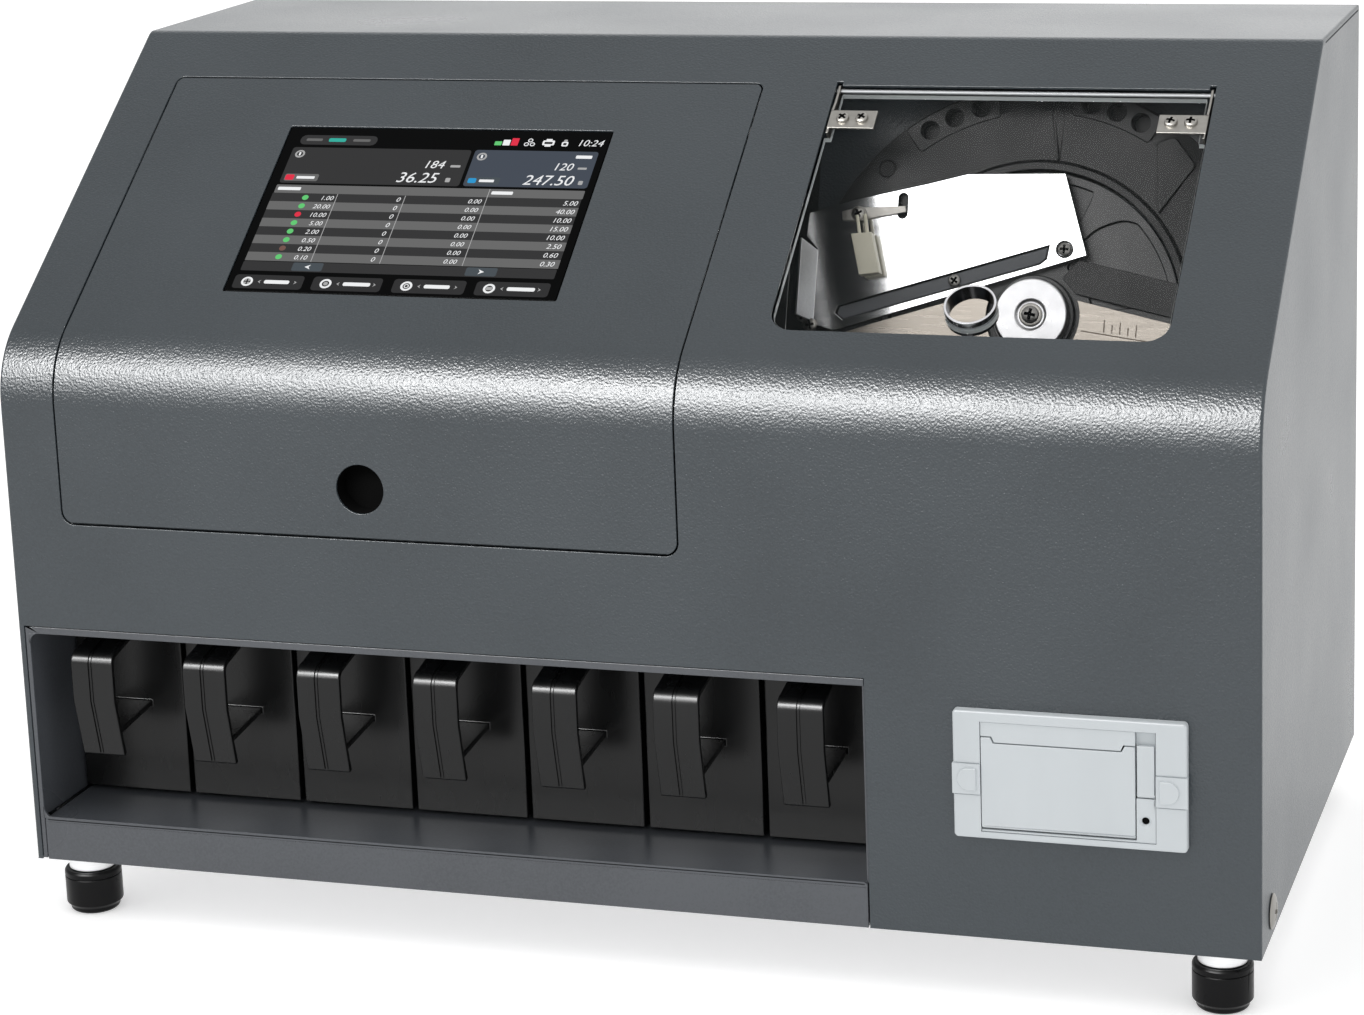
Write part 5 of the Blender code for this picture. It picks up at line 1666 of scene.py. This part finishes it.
# ---------------------------------------------------------------- guide plate, flap, level plate
guide = show("guide_plate", "mirror", 0.25, 2)
tree = M["mirror"].node_tree
bow_at = tree.nodes.new("ShaderNodeTexCoord")
bow_parts = tree.nodes.new("ShaderNodeSeparateXYZ")
tree.links.new(bow_at.outputs["Object"], bow_parts.inputs["Vector"])
bow = tree.nodes.new("ShaderNodeMath")
bow.operation = "MULTIPLY"
bow.inputs[1].default_value = 38000.0
tree.links.new(bow_parts.outputs["X"], bow.inputs[0])
bump = next(n for n in tree.nodes if n.type == "BUMP")
marks_from = bump.inputs["Height"].links[0].from_socket
both = tree.nodes.new("ShaderNodeMath")
both.operation = "ADD"
tree.links.new(marks_from, both.inputs[0])
tree.links.new(bow.outputs[0], both.inputs[1])
tree.links.new(both.outputs[0], bump.inputs["Height"])
guide.data.materials.append(M["brushed"])
for face in guide.data.polygons:
    middle = (face.center - mech(0, 0, 0)) * 1000
    if middle.x < -110.6 and abs(face.normal.dot(MECH_AXIS)) < 0.95:
        face.material_index = 1
bar = mech_prism("guide_bar", [(-99.6, -2.4), (-96.2, -4.6), (2.0, 26.0), (5.2, 28.6), (6.2, 34.4), (-98.6, 1.4)], 1.2, 2.9)
add(bar, "root", "bar", 0.5, 3)
show("flap_lever", "nickel", 0.2)
show("flap_block", "nylon", 0.5, 3)
show("level_plate", "level", 0.2)
fill_line = mech_prism("level_mark", [(24.8, -6.9), (68.0, -12.6), (68.0, -12.1), (24.8, -6.4)], 1.45, 1.62)
add(fill_line, "root", "mark", 0.0)
for i in range(5):
    a = 36.0 + 4.0 * i
    b = -7.0 - 0.131 * (a - 36.0)
    tick = mech_prism(f"level_tick_{i + 1}", [(a, b), (a + 0.5, b), (a + 0.5, b + 4.2 + 1.8 * (i % 2 == 0)), (a, b + 4.2 + 1.8 * (i % 2 == 0))], 1.45, 1.62)
    add(tick, "root", "mark", 0.0)
pan_screw("guide_screw_small", "root", mech(-40.2, 16.3, 3.5), MECH_AXIS, 3.1, 1.2, "dark_screw", 10)
pan_screw("guide_screw_right", "root", mech(14.6, 33.4, 3.5), MECH_AXIS, 3.4, 1.6, "dark_screw", 40)
collar = turned("guide_screw_collar", mech(14.6, 33.4, 3.5), MECH_AXIS, [(3.5, -0.4), (4.4, -0.4), (4.4, 0.7), (3.5, 0.7)], None, 20)
add(collar, "root", "black", 0.15)
pan_screw("guide_screw_left", "root", mech(-113.2, -8.4, 4.0), MECH_AXIS, 3.6, 2.0, turn=55)
pan_screw("guide_screw_left_2", "root", mech(-117.4, -3.6, 2.6), MECH_AXIS, 3.4, 1.8, turn=15)
pan_screw("flap_pivot_screw", "coin_flap", mech(*FLAP_PIVOT, 7.4), MECH_AXIS, 3.4, 1.4, turn=70)

# ---------------------------------------------------------------- sorting and drive
show("sorting_rail", "mirror", 0.3)
for side in ("left", "right"):
    show(f"belt_pulley_{side}", "aluminium", 0.3)
show("transport_belt", "belt", 0.3)
show("chute_block", "black", 0.4)

# ---------------------------------------------------------------- panel printer
bpy.data.objects.remove(bpy.data.objects["printer_bezel" + LOOK])
bezel = front_prism("printer_bezel", rounded(*BEZEL_X, *BEZEL_Z, 2.0, 3), -4.6, -0.3)
bm = bmesh.new()
bm.from_mesh(bezel.data)
front_y = at(0, -4.6, 0).y
rim = [e for e in bm.edges if all(abs(v.co.y - front_y) < 1e-6 for v in e.verts)]
bmesh.ops.bevel(bm, geom=rim, offset=0.0012, offset_type="OFFSET", segments=5, profile=0.5, affect="EDGES")
bm.to_mesh(bezel.data)
bm.free()
bands = [front_prism("side_band", [(x0, 73.2), (x1, 73.2), (x1, 88.2), (x0, 88.2)], -5.3, -2.0) for x0, x1 in ((485.9, 499.2), (582.0, 596.7))]
join(bezel, *bands)
cut(
    bezel,
    front_prism("inner_step", [(499.2, 54.9), (582.0, 54.9), (582.0, 109.0), (499.2, 109.0)], -9, 3),
    *[front_prism("line", [(x0, z), (x1, z), (x1, z + 0.6), (x0, z + 0.6)], -9, -4.0) for x0, x1 in ((480, 503.0), (578.0, 600)) for z in (72.8, 88.2)],
)
for name, x, way in (("left", 497.4, -1), ("right", 583.8, 1)):
    flat = [(x, 75.4), (x + 4.0 * way, 75.4)]
    nose = [(x + (4.0 + 5.0 * math.sin(t * math.pi / 12)) * way, 80.8 - 5.4 * math.cos(t * math.pi / 12)) for t in range(1, 12)]
    ear = front_prism(f"printer_ear_{name}", (flat + nose + [(x + 4.0 * way, 86.2), (x, 86.2)])[::way], -6.3, -4.0)
    add(ear, "root", "printer", 0.45, 4)
step = front_prism("printer_step", [(499.5, 55.2), (581.7, 55.2), (581.7, 108.7), (499.5, 108.7)], -4.05, -0.3)
cut(
    step,
    front_prism("cover_hole", tear_outline(*COVER_X, 56.6, 101.4, 2.8, 0.55), -9, 3),
    front_prism("lever_hole", [(572.2, 76.6), (581.6, 76.6), (581.6, 108.6), (572.2, 108.6)], -9, 3),
    turned("lamp_hole", at(576.8, 0, 65.6), Y_AXIS, [(0, -7), (3.0, -7), (3.0, -4.2), (1.8, -3.1), (1.8, 1), (0, 1)], None, 16),
)
add(step, "root", "printer", 0.0)
shelf = front_prism("printer_shelf", [(572.4, 76.8), (581.4, 76.8), (581.4, 108.4), (572.4, 108.4)], -1.5, -0.9)
add(shelf, "root", "printer", 0.0)
show("printer_bezel", "printer", 0.0)
# The unlit lamp at the back of its hole: its own dark lens, and painted shade of the hole, in the same near-black.
lamp = turned("printer_lamp", at(576.8, 0, 65.6), Y_AXIS, [(0, -2.4), (1.75, -2.4), (1.75, -0.8), (0, -0.8)], None, 16)
add(lamp, "root", "painted_shade", 0.0)
show("printer_cover", "printer", 0.35, 3)
show("printer_lever", "printer", 0.4, 3)
show("printer_body", "black", 0.3)
show("paper_roll", "paper", 0.3)

# ---------------------------------------------------------------- electronics
show("power_supply", "zinc", 0.5)
show("control_board", "board", 0.2)
show("power_inlet", "black", 0.5)
show("power_switch", "black", 0.4)

# ---------------------------------------------------------------- stage
floor_mesh = bpy.data.meshes.new("floor")
floor_mesh.from_pydata([(-30, -30, 0), (30, -30, 0), (30, 60, 0), (-30, 60, 0)], [], [(0, 1, 2, 3)])
floor = bpy.data.objects.new("floor", floor_mesh)
bpy.context.scene.collection.objects.link(floor)
pale, tree, surface = shader("pale_floor")
surface.inputs["Base Color"].default_value = (0.90, 0.90, 0.90, 1.0)
surface.inputs["Roughness"].default_value = 0.8
surface.inputs["Specular IOR Level"].default_value = 0.1
surface.inputs["Emission Color"].default_value = (1.0, 1.0, 1.0, 1.0)
surface.inputs["Emission Strength"].default_value = 0.38
floor_mesh.materials.append(pale)

scene = bpy.context.scene
world = bpy.data.worlds.new("studio")
scene.world = world
world.use_nodes = True
tree = world.node_tree
background = tree.nodes["Background"]
background.inputs["Color"].default_value = (1.0, 1.0, 1.0, 1.0)
path = tree.nodes.new("ShaderNodeLightPath")
# What a glossy surface sees: dimmer to the left overhead.
toward = tree.nodes.new("ShaderNodeTexCoord")
parts = tree.nodes.new("ShaderNodeSeparateXYZ")
tree.links.new(toward.outputs["Generated"], parts.inputs["Vector"])
side_fall = tree.nodes.new("ShaderNodeMapRange")
side_fall.inputs["From Min"].default_value = -0.55
side_fall.inputs["From Max"].default_value = -0.15
side_fall.inputs["To Min"].default_value = 0.60
side_fall.inputs["To Max"].default_value = 1.06
tree.links.new(parts.outputs["X"], side_fall.inputs["Value"])
level = tree.nodes.new("ShaderNodeMix")
level.data_type = "FLOAT"
tree.links.new(path.outputs["Is Glossy Ray"], level.inputs[0])
level.inputs[2].default_value = 1.05
tree.links.new(side_fall.outputs["Result"], level.inputs[3])
shade = tree.nodes.new("ShaderNodeMix")
shade.data_type = "FLOAT"
tree.links.new(path.outputs["Is Diffuse Ray"], shade.inputs[0])
tree.links.new(level.outputs[0], shade.inputs[2])
shade.inputs[3].default_value = 0.85
tree.links.new(shade.outputs[0], background.inputs["Strength"])


def softbox(name, centre_point, target, width, height, radiance, diffuse=True, glossy=True):
    """A rectangular lamp; radiance is what a mirror would see in it."""
    lamp = bpy.data.lights.new(name, "AREA")
    lamp.shape = "RECTANGLE"
    lamp.size, lamp.size_y = width, height
    lamp.energy = radiance * math.pi * width * height
    obj = bpy.data.objects.new(name, lamp)
    scene.collection.objects.link(obj)
    obj.location = centre_point
    aim = Vector(target) - Vector(centre_point)
    obj.rotation_euler = aim.to_track_quat("-Z", "Y").to_euler()
    obj.visible_camera = False
    obj.visible_diffuse = diffuse
    obj.visible_glossy = glossy
    return obj


def only_on(lamp, pieces):
    """Keeps a lamp to some pieces."""
    group = bpy.data.collections.new(lamp.name + "_pieces")
    for piece in pieces:
        group.objects.link(piece)
    lamp.light_linking.receiver_collection = group


UNDER_GLASS = ("guide", "level", "hub", "flap", "feed_shaft", "feed_pulley", "motor_", "mechanism", "sorting", "belt_", "lid_finger", "lid_hinge")
meshes = [o for o in scene.objects if o.type == "MESH" and o is not floor]
inner = [o for o in meshes if o.name.startswith(UNDER_GLASS)]
outer = [o for o in meshes if not o.name.startswith(UNDER_GLASS)]
only_on(softbox("bend_strip", (-0.53, -1.68, 1.38), (0.0, -0.13, 0.29), 1.7, 0.50, 38.5, diffuse=False), outer)
only_on(softbox("bend_tail", (-0.60, -2.05, 0.95), (0.0, -0.13, 0.29), 2.2, 0.45, 11.0, diffuse=False), outer)
only_on(softbox("plate_panel", (-0.53, -1.68, 1.38), (0.2, -0.05, 0.35), 1.7, 0.52, 3.4, diffuse=False), inner)
softbox("back_panel", (-0.485, 0.66, 0.82), (-0.485, 0.0, 0.82), 1.63, 0.76, 0.62, diffuse=False)
softbox("overhead", (-0.2, -0.6, 2.6), (0.0, 0.0, 0.2), 2.4, 2.0, 0.9, glossy=False)

camera = bpy.data.cameras.new("camera")
camera.sensor_fit = "HORIZONTAL"
camera.sensor_width = 36.0
camera.lens = 92.59
camera_obj = bpy.data.objects.new("camera", camera)
scene.collection.objects.link(camera_obj)
across = Vector((0.95587, 0.29192, -0.03304))
down = Vector((0.03581, -0.22738, -0.97315))
ahead = Vector((-0.29159, 0.92902, -0.22780))
HOME = Vector((0.5498, -1.6722, 0.6681))
turn = [[across[i], -down[i], -ahead[i], HOME[i]] for i in range(3)] + [[0, 0, 0, 1]]
camera_obj.matrix_world = Matrix(turn)
scene.camera = camera_obj
camera.shift_x = -0.0468
camera.shift_y = -0.0939

scene.view_settings.view_transform = "Standard"
scene.view_settings.look = "None"
